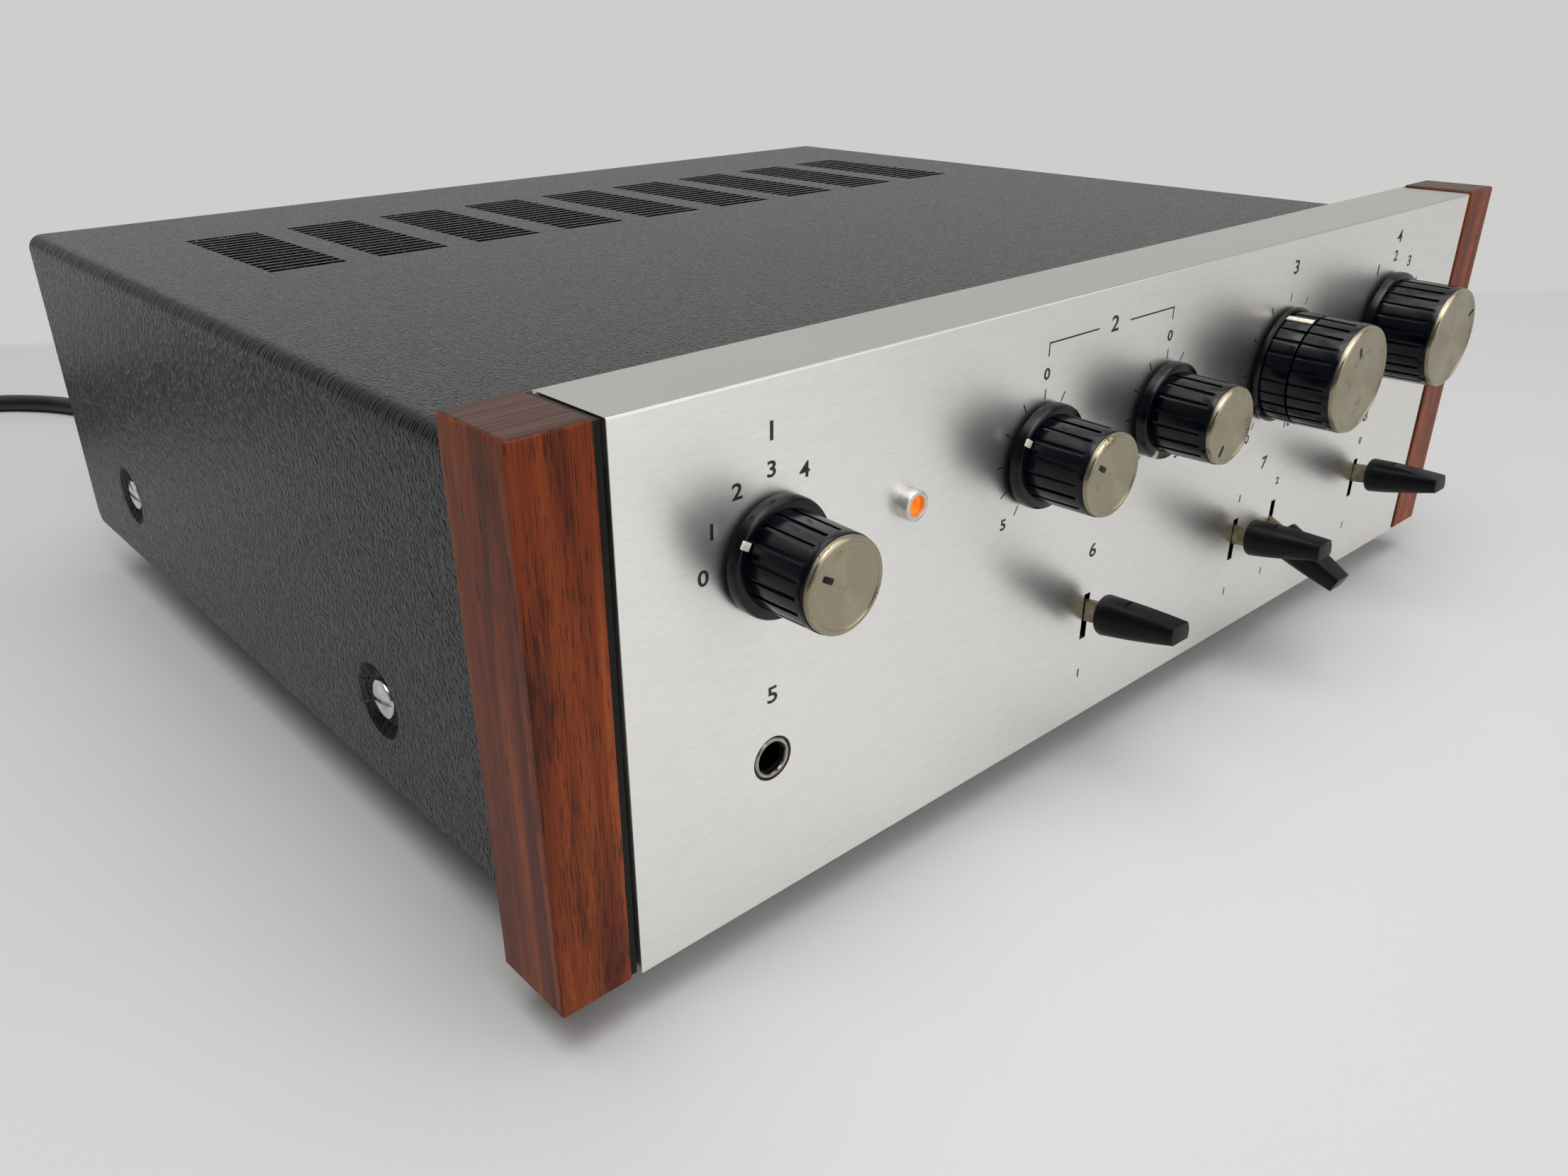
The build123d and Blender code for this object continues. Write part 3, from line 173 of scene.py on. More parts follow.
def addNode(tree, kind, settings=None, values=None, links=None, stops=None):
    node = tree.nodes.new("ShaderNode" + kind)
    for key, value in (settings or {}).items():
        setattr(node, key, value)
    for key, value in (values or {}).items():
        node.inputs[key].default_value = value
    linkInputs(tree, node, links or {})
    if stops:
        elements = node.color_ramp.elements
        while len(elements) < len(stops):
            elements.new(0.5)
        for element, (place, code) in zip(elements, stops):
            element.position = place
            element.color = linearColour(code)
    return node


rgba, product, larger = {"data_type": "RGBA"}, {"operation": "MULTIPLY"}, {"operation": "MAXIMUM"}


def perSize(size):
    # scale of a pattern whose features are this many millimetres, or these along x, y and z
    return [1000 / side for side in (size if isinstance(size, tuple) else (size,) * 3)]


def newMaterial(name, values, plan, kinds):
    # a shader, and a noise for each kind in the size that the plan gives it
    material = bpy.data.materials.new(name)
    material.use_nodes = True
    tree = material.node_tree
    tree.nodes.clear()
    shader = addNode(tree, "BsdfPrincipled", None, values)
    addNode(tree, "OutputMaterial", links={"Surface": shader})
    places = addNode(tree, "TexCoord").outputs
    noises = {}
    for key, values in kinds.items():
        scale = {"Scale": perSize(plan[key])}
        spread = addNode(tree, "Mapping", None, scale, {"Vector": places["Object"]})
        noises[key] = addNode(tree, "TexNoise", None, {"Scale": 1.0, **values}, {"Vector": spread})
    return material, tree, shader, places, noises


def dressShader(tree, shader, plan, height, links):
    # links the inputs, the plan's relief and, on brushed or turned metal, the way its lines run
    strength, relief = plan["bump"]
    settings = {"invert": plan.get("sunken", False)}
    values = {"Strength": strength, "Distance": mm(relief)}
    links["Normal"] = addNode(tree, "Bump", settings, values, {"Height": height})
    if "lineMap" in plan:
        settings = {"direction_type": "UV_MAP", "uv_map": plan["lineMap"]}
        links["Tangent"] = addNode(tree, "Tangent", settings)
    linkInputs(tree, shader, links)


def grainedFinish(plan):
    # colour and gloss that wander a little, over a fine bump
    kinds = plan.get("kinds", {"patch": {"Detail": 4.0}, "grit": {"Detail": 3.0}})
    values = plan.get("values", {})
    material, tree, shader, places, noises = newMaterial(plan["name"], values, plan, kinds)
    reach = plan.get("reach", 0.15)
    stops = list(zip((0.5 - reach, 0.5 + reach), plan["tones"]))
    inputs = {"Base Color": addNode(tree, "ValToRGB", links={"Fac": noises["patch"]}, stops=stops)}
    if "gloss" in plan:
        low, high = plan["gloss"]
        values = {"From Min": 0.3, "From Max": 0.7, "To Min": low, "To Max": high}
        links = {"Value": noises.get("cloud", noises["patch"])}
        inputs["Roughness"] = addNode(tree, "MapRange", None, values, links)
    dressShader(tree, shader, plan, noises["grit"], inputs)
    return material, tree, shader, places


def makeBrushedAluminium():
    # aluminium sheet brushed along its length and clear anodised: a soft even silver that blurs what it
    # mirrors up and down, with fine short scratches drawn a little coarse so that they show
    plan = {
        "name": "brushed anodised aluminium",
        "tones": ("#ECEAE6", "#F3F1EE"),
        "reach": 0.18,
        # painted shade, multiplied into the colour of faces that look up
        "lipShade": "#D9D8D5",
        "kinds": {"patch": {"Detail": 4.0}, "grit": {}, "cloud": {}},
        "patch": (4, 0.4, 0.3), "grit": (2.4, 0.22, 0.2), "cloud": 40, "gloss": (0.31, 0.36),
        "bump": (0.09, 0.02), "lineMap": "brush", "values": {"Metallic": 1.0, "Anisotropic": 0.6},
    }
    material, tree, shader, places = grainedFinish(plan)
    # the lip turned back at the top is painted greyer the more it faces up: painted shade
    upward = addNode(tree, "SeparateXYZ", links={0: places["Normal"]}).outputs["Z"]
    settings = {"data_type": "RGBA", "blend_type": "MULTIPLY"}
    values = {"B": linearColour(plan["lipShade"])}
    links = {"Factor": upward, "A": shader.inputs["Base Color"].links[0].from_socket}
    linkInputs(tree, shader, {"Base Color": addNode(tree, "Mix", settings, values, links)})
    return material


def makeRosewood():
    # oiled rosewood, sawn and sanded: orange brown with short open pores in rows and a dark flame; the
    # end grain on top takes more oil and goes darker, with faint lines; its dull purple brown is partly
    # that and partly painted shade and a painted sheen of the bright sky above
    plan = {
        "figure": (3.4, 3.4, 75), "flame": (7, 7, 60), "pore": (0.25, 0.25, 6),
        "end": (30, 0.9, 30), "crowding": 0.3,
        "tones": [(0.31, "#5F240E"), (0.5, "#7C3614"), (0.69, "#9A4C20")],
        # end grain tones, darkened partly as painted shade and greyed as a painted sheen
        "endGrainShadeAndSheenTones": [(0.36, "#38221B"), (0.64, "#57372B")],
        "flameTone": "#2E1008",
        "poreTone": "#1C0904",
        "bump": (0.25, 0.06), "sunken": True,
    }
    kinds = {
        "figure": {"Detail": 6.0, "Distortion": 0.4}, "flame": {"Detail": 4.0, "Distortion": 1.0},
        "pore": {}, "end": {"Detail": 3.0},
    }
    values = {"Roughness": 0.4, "Specular IOR Level": 0.17}
    material, tree, shader, places, noises = newMaterial("oiled rosewood", values, plan, kinds)
    # pores crowd together in the flame
    links = {0: noises["flame"], 2: noises["pore"]}
    crowd = addNode(tree, "Math", {"operation": "MULTIPLY_ADD"}, {1: plan["crowding"]}, links)
    upward = addNode(tree, "SeparateXYZ", links={0: places["Normal"]}).outputs["Z"]
    tone, endGrainShadeAndSheenTone = [
        addNode(tree, "ValToRGB", links={"Fac": noises[name]}, stops=plan[stops]).outputs[0]
        for name, stops in (("figure", "tones"), ("end", "endGrainShadeAndSheenTones"))
    ]
    layers = (
        (noises["flame"], [(0.55, "#000000"), (0.69, "#C4C4C4")], linearColour(plan["flameTone"])),
        (crowd, [(0.69, "#000000"), (0.775, "#D8D8D8")], linearColour(plan["poreTone"])),
        # faces that look up take the end grain tone, with its painted shade and painted sheen
        (upward, [(0.6, "#000000"), (0.8, "#FFFFFF")], endGrainShadeAndSheenTone),
    )
    masks = []
    for source, stops, colour in layers:
        masks.append(addNode(tree, "ValToRGB", links={"Fac": source}, stops=stops))
        links = {"Factor": masks[-1], "A": tone}
        values = {}
        (links if colour is endGrainShadeAndSheenTone else values)["B"] = colour
        tone = addNode(tree, "Mix", rgba, values, links)
    dressShader(tree, shader, plan, masks[1], {"Base Color": tone})
    return material


def makeGrainedVinyl():
    # black PVC film laminated on steel and embossed like leather: upright wrinkles that break a grey
    # sheen, drawn out into duller ridges where the sheet was bent
    plan = {
        "cell": (1.35, 1.2, 2.3), "crease": (3.4, 3.0, 5), "fine": (0.4, 0.4, 0.6),
        "ridge": (14, 0.8, 14), "wobble": 1.6, "dome": 0.34, "fineShare": 0.35,
        "tones": ("#0B0E0E", "#141817"),
        # painted shade for the film between the vent slots
        "matt": "#060707",
        "bump": (1.0, 0.42), "shine": (0.46, 0.14),
        "slots": {"pitch": 29.3, "width": 20.3, "columns": 9, "front": 102.8, "depth": 59.9},
    }
    kinds = {"crease": {}, "fine": {}, "ridge": {}}
    values = {"Roughness": 0.3}
    material, tree, shader, places, noises = newMaterial("grained vinyl on steel", values, plan, kinds)
    values = {"Scale": perSize(plan["cell"])}
    spread = addNode(tree, "Mapping", None, values, {"Vector": places["Object"]})
    blend = {"operation": "MULTIPLY_ADD"}
    links = {0: noises["crease"].outputs["Color"], 2: spread}
    push = addNode(tree, "VectorMath", blend, {1: (plan["wobble"],) * 3}, links)
    settings = {"feature": "DISTANCE_TO_EDGE"}
    cell = addNode(tree, "TexVoronoi", settings, {"Scale": 1.0}, {"Vector": push})
    settings = {"interpolation_type": "SMOOTHERSTEP"}
    values = {"From Min": 0.0, "From Max": plan["dome"]}
    dome = addNode(tree, "MapRange", settings, values, {"Value": cell})
    height = addNode(tree, "Math", blend, {1: plan["fineShare"]}, {0: noises["fine"], 2: dome})
    # one on the bends between the sides and the top, nought on the flats
    parts = addNode(tree, "SeparateXYZ", links={0: places["Normal"]}).outputs
    links = {0: parts["X"], 1: parts["Z"]}
    slant = addNode(tree, "Math", product, None, links)
    steep = addNode(tree, "Math", {"operation": "ABSOLUTE"}, None, {0: slant})
    values = {"From Min": 0.2, "From Max": 0.42}
    bent = addNode(tree, "MapRange", None, values, {"Value": steep})
    values = {"From Min": 0.35, "From Max": 0.65, "To Max": 1.1}
    ridge = addNode(tree, "MapRange", None, values, {"Value": noises["ridge"]})
    drawn = addNode(tree, "Mix", {"data_type": "FLOAT"}, None, {0: bent, 2: height, 3: ridge})
    # between its slots the film is painted darker, as painted shade over the vent field, and made matt:
    # one there, nought elsewhere
    slots = plan["slots"]
    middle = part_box("top_cover")[1].y - mm(slots["front"] - slots["depth"] / 2)
    repeat = [("MULTIPLY", 1 / mm(slots["pitch"])), ("ADD", 0.5), ("FRACT", 0), ("SUBTRACT", 0.5)]
    spans = (
        ("X", repeat, slots["width"] / slots["pitch"] / 2),
        ("X", [], mm(slots["pitch"] * slots["columns"]) / 2),
        ("Y", [("SUBTRACT", middle)], mm(slots["depth"]) / 2),
    )
    home = addNode(tree, "SeparateXYZ", links={0: places["Object"]}).outputs
    shadedVentField = None
    for axis, steps, half in spans:
        value = home[axis]
        for operation, amount in steps + [("ABSOLUTE", 0), ("LESS_THAN", half)]:
            value = addNode(tree, "Math", {"operation": operation}, {1: amount}, {0: value})
        if shadedVentField:
            value = addNode(tree, "Math", product, None, {0: shadedVentField, 1: value})
        shadedVentField = value
    matt = addNode(tree, "Math", larger, None, {0: bent, 1: shadedVentField})
    values = {"To Min": plan["shine"][0], "To Max": plan["shine"][1]}
    inputs = {"Specular IOR Level": addNode(tree, "MapRange", None, values, {"Value": matt})}
    stops = list(zip((0.35, 0.65), plan["tones"]))
    tone = addNode(tree, "ValToRGB", links={"Fac": noises["crease"]}, stops=stops)
    # painted shade: the vent field is darkened in the base colour
    values = {"B": linearColour(plan["matt"])}
    links = {"Factor": shadedVentField, "A": tone}
    inputs["Base Color"] = addNode(tree, "Mix", rgba, values, links)
    dressShader(tree, shader, plan, drawn, inputs)
    return material


def makeSpunCap():
    # aluminium faced on a lathe and dyed champagne: fine rings that gather light in two opposite fans,
    # with a few pits where the dye has gone
    plan = {
        "tones": ("#9B937C", "#A69D87"),
        "pit": 0.35, "patch": 5,
        "stain": "#5E5238",
        "rings": (90.0, 3.0, 1.0), "bump": (0.05, 0.01), "lineMap": "ring",
    }
    values = {"Metallic": 1.0, "Roughness": 0.3, "Anisotropic": 0.85}
    kinds = {"pit": {}, "patch": {"Detail": 1.0}}
    material, tree, shader, _, noises = newMaterial("spun champagne aluminium", values, plan, kinds)
    ring = addNode(tree, "UVMap", {"uv_map": plan["lineMap"]})
    spread = addNode(tree, "Mapping", None, {"Scale": plan["rings"]}, {"Vector": ring})
    values = {"Scale": 1.0, "Detail": 1.0}
    lines = addNode(tree, "TexNoise", None, values, {"Vector": spread})
    stops = list(zip((0.3, 0.7), plan["tones"]))
    tone = addNode(tree, "ValToRGB", links={"Fac": lines}, stops=stops)
    links = {0: noises["pit"], 1: noises["patch"]}
    spots = addNode(tree, "Math", product, None, links)
    stops = [(0.39, "#000000"), (0.42, "#FFFFFF")]
    mask = addNode(tree, "ValToRGB", links={"Fac": spots}, stops=stops)
    values = {"B": linearColour(plan["stain"])}
    worn = addNode(tree, "Mix", rgba, values, {"Factor": mask, "A": tone})
    dressShader(tree, shader, plan, lines, {"Base Color": worn})
    return material


def makeAmberLens():
    # orange polystyrene lit from behind: glows evenly, a little deeper in patches
    plan = {"tones": ("#EC5800", "#FF7802"), "patch": 1.5}
    values = {"Roughness": 0.3, "Specular IOR Level": 0.2, "Emission Strength": 0.8}
    material, tree, shader, _, noises = newMaterial("amber polystyrene", values, plan, {"patch": {}})
    stops = list(zip((0.3, 0.7), plan["tones"]))
    colour = addNode(tree, "ValToRGB", links={"Fac": noises["patch"]}, stops=stops)
    linkInputs(tree, shader, {"Base Color": colour, "Emission Color": colour})
    return material


finishPlans = {
    "glossBlack": {  # ABS moulded in a polished tool: blue black with sharp, slightly wavy reflections
        "name": "gloss black ABS", "tones": ("#02030A", "#050812"), "patch": 7, "grit": 0.7,
        "bump": (0.06, 0.05), "gloss": (0.14, 0.24), "values": {"Specular IOR Level": 0.3},
    },
    "satinBlack": {  # ABS moulded in a matt tool: black with a soft even sheen
        "name": "satin black ABS", "tones": ("#020306", "#05070A"), "patch": 5, "grit": 0.25,
        "bump": (0.12, 0.03), "gloss": (0.34, 0.44), "values": {"Specular IOR Level": 0.22},
    },
    "nickel": {  # brass, nickel plated: a clear grey with a little warmth left
        "name": "nickel plated brass", "tones": ("#8B867E", "#BDB8AF"), "patch": 2.5,
        "grit": (0.5, 0.5, 2), "bump": (0.1, 0.02), "gloss": (0.2, 0.36),
        "values": {"Metallic": 1.0},
    },
    "bladeSteel": {  # steel strip, plated and tarnished: dull olive grey
        "name": "tarnished plated steel", "tones": ("#6B624E", "#9C937C"), "patch": 2.5,
        "grit": (0.5, 2, 0.5), "bump": (0.12, 0.02), "gloss": (0.32, 0.5),
        "values": {"Metallic": 1.0},
    },
    "satinMetal": {  # turned aluminium, clear anodised: satin silver
        "name": "satin anodised aluminium", "tones": ("#C9C7C3", "#DEDCD9"), "patch": 2,
        "grit": 0.2, "bump": (0.08, 0.01), "gloss": (0.4, 0.5), "values": {"Metallic": 1.0},
    },
    "brightScrew": {  # steel, bright nickel plated: a clean mirror with faint marks
        "name": "bright nickel plated steel", "tones": ("#BDBDBC", "#E6E6E5"), "patch": 3,
        "grit": 0.5, "bump": (0.08, 0.02), "gloss": (0.1, 0.24), "values": {"Metallic": 1.0},
    },
    "zinc": {  # cold rolled steel, zinc plated: pale grey with a faint yellow and blue bloom
        "name": "zinc plated steel", "tones": ("#A3A5A2", "#B3B4AE"), "patch": 8, "grit": 0.6,
        "bump": (0.12, 0.02), "gloss": (0.38, 0.46), "values": {"Metallic": 1.0},
    },
    "rubber": {  # natural rubber, moulded: dull black, greyed where it is handled
        "name": "moulded rubber", "tones": ("#121212", "#222221"), "patch": 6, "grit": 0.4,
        "bump": (0.25, 0.06), "gloss": (0.62, 0.8),
    },
    "cordSheath": {  # extruded PVC: black with a soft sheen along it
        "name": "extruded PVC", "tones": ("#0B0C0C", "#171818"), "patch": 10, "grit": 0.6,
        "bump": (0.1, 0.04), "gloss": (0.3, 0.44),
    },
    "strip": {  # lacquered fibre: black with a low gloss, brown where it is thin
        "name": "lacquered fibre strip", "tones": ("#060505", "#110E0C"), "patch": (4, 4, 14),
        "grit": (0.4, 0.4, 3), "bump": (0.15, 0.03), "gloss": (0.4, 0.55),
        "values": {"Specular IOR Level": 0.2},
    },
    "ink": {  # enamel screened on the plate: black, nearly flat
        "name": "black screened enamel", "tones": ("#0E0E0F", "#1A1A1B"), "patch": 1, "grit": 0.2,
        "bump": (0.1, 0.01), "values": {"Roughness": 0.5},
    },
    "indexWhite": {  # enamel filled into a groove: white, slightly yellowed
        "name": "white enamel fill", "tones": ("#DAD2BE", "#F0EADB"), "patch": 1, "grit": 0.2,
        "bump": (0.1, 0.01), "values": {"Roughness": 0.45},
    },
    "laminations": {  # transformer steel dipped in varnish: brown grey, the edges of its sheets show
        "name": "varnished laminations", "tones": ("#3A3532", "#57504A"), "patch": (30, 0.5, 30),
        "grit": (20, 0.5, 20), "bump": (0.4, 0.1), "gloss": (0.4, 0.6),
        "values": {"Metallic": 0.6},
    },
    "windingTape": {  # varnished paper tape over copper wire: dull amber
        "name": "varnished winding tape", "tones": ("#94702C", "#B8924A"), "patch": (12, 12, 3),
        "grit": 1, "bump": (0.2, 0.05), "gloss": (0.35, 0.55),
    },
    "paperBoard": {  # phenolic paper laminate: brown, a little translucent to the eye
        "name": "phenolic paper board", "tones": ("#6B4A20", "#8A6532"), "patch": (8, 3, 8),
        "grit": 0.8, "bump": (0.1, 0.02), "gloss": (0.35, 0.5),
    },
    "sleeveBlue": {  # PVC sleeve shrunk on an aluminium can: dark blue, glossy
        "name": "blue shrunk sleeve", "tones": ("#15233F", "#1D3158"), "patch": 10, "grit": 2,
        "bump": (0.1, 0.05), "gloss": (0.25, 0.4),
    },
    "sinkBlack": {  # extruded aluminium, black anodised: dark with die lines
        "name": "black anodised extrusion", "tones": ("#17181A", "#242628"), "patch": (8, 8, 60),
        "grit": (0.4, 0.4, 40), "bump": (0.2, 0.03), "gloss": (0.35, 0.5),
        "values": {"Metallic": 0.7},
    },
    "phenolic": {  # compression moulded phenolic: brown black, satin
        "name": "moulded phenolic", "tones": ("#14110F", "#231D19"), "patch": 5, "grit": 0.4,
        "bump": (0.15, 0.03), "gloss": (0.32, 0.46),
    },
    "bulbGlass": {  # blown glass over a warm filament
        "name": "lamp glass", "tones": ("#FFE2B0", "#FFF0D2"), "patch": 2, "grit": 1,
        "bump": (0.05, 0.02), "values": {"Roughness": 0.05, "Transmission Weight": 0.8},
    },
}
finishes = {key: grainedFinish(plan)[0] for key, plan in finishPlans.items()}
finishes["aluminium"] = makeBrushedAluminium()
finishes["wood"] = makeRosewood()
finishes["vinyl"] = makeGrainedVinyl()
finishes["spunCap"] = makeSpunCap()
finishes["amber"] = makeAmberLens()

cadFinish = {
    "aluminium": ["faceplate"],
    "wood": ["wood_cheek_left", "wood_cheek_right"],
    "vinyl": ["top_cover"],
    "strip": ["end_strips"],
    "zinc": ["front_subpanel", "bottom_pan", "rear_panel", "rotary_switches", "lever_switches"],
    "brightScrew": ["cover_screws", "foot_screws", "control_nuts", "output_transistors", "balance_shaft"],
    "rubber": ["feet"],
    "satinMetal": ["lamp_bezel"],
    "amber": ["lamp_lens"],
    "bulbGlass": ["pilot_lamp"],
    "nickel": ["phones_jack", "phono_sockets", "ground_post"],
    "laminations": ["transformer_core"],
    "windingTape": ["transformer_winding"],
    "paperBoard": ["circuit_boards"],
    "sleeveBlue": ["filter_capacitors"],
    "sinkBlack": ["heat_sink"],
    "phenolic": ["phono_socket_plate", "speaker_terminals", "fuse_holder"],
    "cordSheath": ["cord_relief", "mains_cord", "cord_coil"],
    "satinBlack": ["mains_plug"],
    "glossBlack": ["balance_ring"],
    "spunCap": [],
    "bladeSteel": [],
}
cadFinish["zinc"] += ["tone_controls", "volume_control"]
for name in ("speaker", "bass", "treble", "volume", "selector"):
    cadFinish["spunCap"].append(name + "_knob_cap")
    cadFinish["glossBlack"].append(name + "_knob")
    cadFinish["brightScrew"].append(name + "_shaft")
for name in ("loudness", "tape_1", "tape_2", "mode"):
    cadFinish["satinBlack"].append(name + "_lever_cap")
    cadFinish["bladeSteel"].append(name + "_lever")
finished = set()
for finish, names in cadFinish.items():
    for name in names:
        nodes[name].data.materials.clear()
        nodes[name].data.materials.append(finishes[finish])
        finished.add(name)
print("materials made:", len(finishes), "nodes left without one:", sorted(set(nodes) - finished))


meshPlan = {"weld": 0.002, "cadWeld": 0.001, "flat": 0.5}  # millimetres, millimetres, degrees


def seat(home, outward):
    # local x to the right, y up and z outwards, at a place on the object
    out = Vector(outward).normalized()
    side = Vector((0, 0, 1)).cross(out).normalized()
    turn = Matrix((side, out.cross(side), out)).transposed().to_4x4()
    return Matrix.Translation(Vector(home)) @ turn


def middleOf(node):
    low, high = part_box(node)
    return (low + high) / 2


def onPlate(x, z, lift=0.0):
    # a seat at the front of the plate, facing out of it
    return seat((x, faceY - mm(lift), z), (0, -1, 0))


def turnedPiece(name, profile, segments=64):
    # profile: (radius, height) in millimetres along local z, extruded ring by ring and closed
    clearSelection()
    radius, height = profile[0]
    bpy.ops.mesh.primitive_circle_add(
        vertices=segments, radius=mm(radius), fill_type="NOTHING", location=(0, 0, mm(height))
    )
    piece = bpy.context.object
    piece.name = name
    bpy.ops.object.transform_apply(location=True, rotation=True, scale=True)
    bpy.ops.object.mode_set(mode="EDIT")
    bpy.ops.mesh.select_mode(type="EDGE")
    bpy.ops.mesh.select_all(action="SELECT")
    for (radius, height), (nextRadius, nextHeight) in zip(profile, profile[1:]):
        rise = (0, 0, mm(nextHeight - height))
        bpy.ops.mesh.extrude_region_move(TRANSFORM_OT_translate={"value": rise})
        grow = nextRadius / radius
        bpy.ops.transform.resize(value=(grow, grow, 1), center_override=(0, 0, 0))
    bpy.ops.mesh.select_all(action="SELECT")
    bpy.ops.mesh.remove_doubles(threshold=mm(meshPlan["weld"]))
    bpy.ops.mesh.fill_holes(sides=0)
    bpy.ops.mesh.select_all(action="SELECT")
    bpy.ops.mesh.normals_make_consistent(inside=False)
    bpy.ops.object.mode_set(mode="OBJECT")
    return piece


def bevelEdges(piece, width, segments=2, angle=32):
    pick(piece)
    bevel = piece.modifiers.new("edges", "BEVEL")
    bevel.width = mm(width)
    bevel.segments = segments
    bevel.limit_method = "ANGLE"
    bevel.angle_limit = math.radians(angle)
    bpy.ops.object.modifier_apply(modifier=bevel.name)


def cutOut(piece, cutter):
    pick(piece)
    cut = piece.modifiers.new("cut", "BOOLEAN")
    cut.operation = "DIFFERENCE"
    cut.solver = "EXACT"
    cut.object = cutter
    bpy.ops.object.modifier_apply(modifier=cut.name)
    bpy.data.objects.remove(cutter)


def plainBlock(name, size, home=(0, 0, 0), turn=0.0):
    # a block in millimetres, turned about local z in degrees
    clearSelection()
    place = [mm(v) for v in home]
    bpy.ops.mesh.primitive_cube_add(size=1, location=place, rotation=(0, 0, math.radians(turn)))
    block = bpy.context.object
    block.name = name
    block.scale = [mm(v) for v in size]
    bpy.ops.object.transform_apply(location=True, rotation=True, scale=True)
    return block


def roundedBlock(name, size, home, turn, edge, segments=2):
    block = plainBlock(name, size, home, turn)
    bevelEdges(block, edge, segments)
    return block


def joinPieces(name, parts):
    clearSelection()
    for part in parts:
        part.select_set(True)
    bpy.context.view_layer.objects.active = parts[0]
    bpy.ops.object.join()
    piece = bpy.context.object
    piece.name = name
    return piece


def finishPiece(piece, place, finish, body, replaced=(), smooth=32):
    # moves the mesh to its place, smooths it and hands it to its body
    if place:
        piece.data.transform(place)
    piece.data.materials.clear()
    piece.data.materials.append(finishes[finish])
    pick(piece)
    bpy.ops.object.shade_smooth_by_angle(angle=math.radians(smooth))
    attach(piece, body)
    if replaced:
        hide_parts(*replaced)
    return piece


def clock(radius, angle):
    # a point on a dial, degrees clockwise from straight up
    return radius * math.sin(math.radians(angle)), radius * math.cos(math.radians(angle))


def refinedCopy(node, name, finish, body, smooth=32):
    # a merged copy of a rigid node, shown in its place
    piece = nodes[node].copy()
    piece.data = nodes[node].data.copy()
    piece.name = name
    piece.parent = None
    for key in [key for key in piece.keys() if key.startswith("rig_")]:
        del piece[key]
    scene.collection.objects.link(piece)
    pick(piece)
    bpy.ops.object.mode_set(mode="EDIT")
    bpy.ops.mesh.select_all(action="SELECT")
    bpy.ops.mesh.remove_doubles(threshold=mm(meshPlan["cadWeld"]))
    bpy.ops.mesh.dissolve_limited(angle_limit=math.radians(meshPlan["flat"]))
    bpy.ops.object.mode_set(mode="OBJECT")
    return finishPiece(piece, None, finish, body, (node,), smooth)


frontPlate = refinedCopy("faceplate", "front_plate", "aluminium", "cabinet")
# a map that runs up the plate first, across the brushing, the way it blurs
brushScale = 3  # per metre
brush = frontPlate.data.uv_layers.new(name="brush")
for loop in frontPlate.data.loops:
    x, y, z = frontPlate.data.vertices[loop.vertex_index].co
    brush.data[loop.index].uv = ((z + y) * brushScale, x * brushScale)
print("front plate made")

smallKnob = {
    "skirt": 10.8, "skirtFront": 3.5, "gripRear": 8.9, "gripFront": 8.6, "length": 16.2,
    "ribs": 18, "cap": 8.4, "back": 0.8,
}
largeKnob = {
    "skirt": 14.6, "skirtFront": 3.2, "gripRear": 13.2, "gripFront": 12.9, "length": 17.5,
    "ribs": 26, "cap": 12.7, "back": 0.8,
}
knobPlan = {
    "speaker": (smallKnob, -60, 0.55), "bass": (smallKnob, -60, 0.55),
    "treble": (smallKnob, -150, 0.68), "selector": (largeKnob, 60, 0.82),
}
ribPlan = {"groove": 0.55, "plainRing": 1.5, "perRib": 8, "grooved": (0, 1), "edge": 0.1, "angle": 28}
indexPlan = {"size": (1.5, 1.75, 0.5), "shift": 0.15, "sunk": 0.12, "edge": 0.12}
capPlan = {
    "thickness": 1.3, "cut": {"size": (1.1, 2.6, 0.9), "sunk": 0.05, "edge": 0.3},
    "mark": {"size": (1.04, 2.54, 0.3), "sunk": 0.36, "edge": 0.08}, "smooth": 26,
    "mapScale": 50,  # per metre, out from the axis
}


def ribbedGrip(name, rear, front, start, end, ribs, plainRing):
    segments = ribs * ribPlan["perRib"]
    shoulder = end - plainRing
    middle = rear + (front - rear) * (shoulder - start) / (end - start)
    profile = [(rear, start), (middle, shoulder)]
    if plainRing > 0:
        profile.append((front, end))
    grip = turnedPiece(name, profile, segments)
    pick(grip)
    bpy.ops.object.mode_set(mode="EDIT")
    bpy.ops.mesh.select_mode(type="FACE")
    bpy.ops.mesh.select_all(action="DESELECT")
    mesh = bmesh.from_edit_mesh(grip.data)
    for face in mesh.faces:
        centre = face.calc_center_median()
        if abs(face.normal.z) > 0.5 or centre.z > mm(shoulder):
            continue
        sector = int(math.atan2(centre.y, centre.x) / math.tau * segments + segments + 0.001)
        face.select = sector % ribPlan["perRib"] in ribPlan["grooved"]
    bmesh.update_edit_mesh(grip.data)
    depth = mm(ribPlan["groove"])
    bpy.ops.mesh.extrude_region_shrink_fatten(TRANSFORM_OT_shrink_fatten={"value": -depth})
    bpy.ops.object.mode_set(mode="OBJECT")
    bevelEdges(grip, ribPlan["edge"], angle=ribPlan["angle"])
    return grip


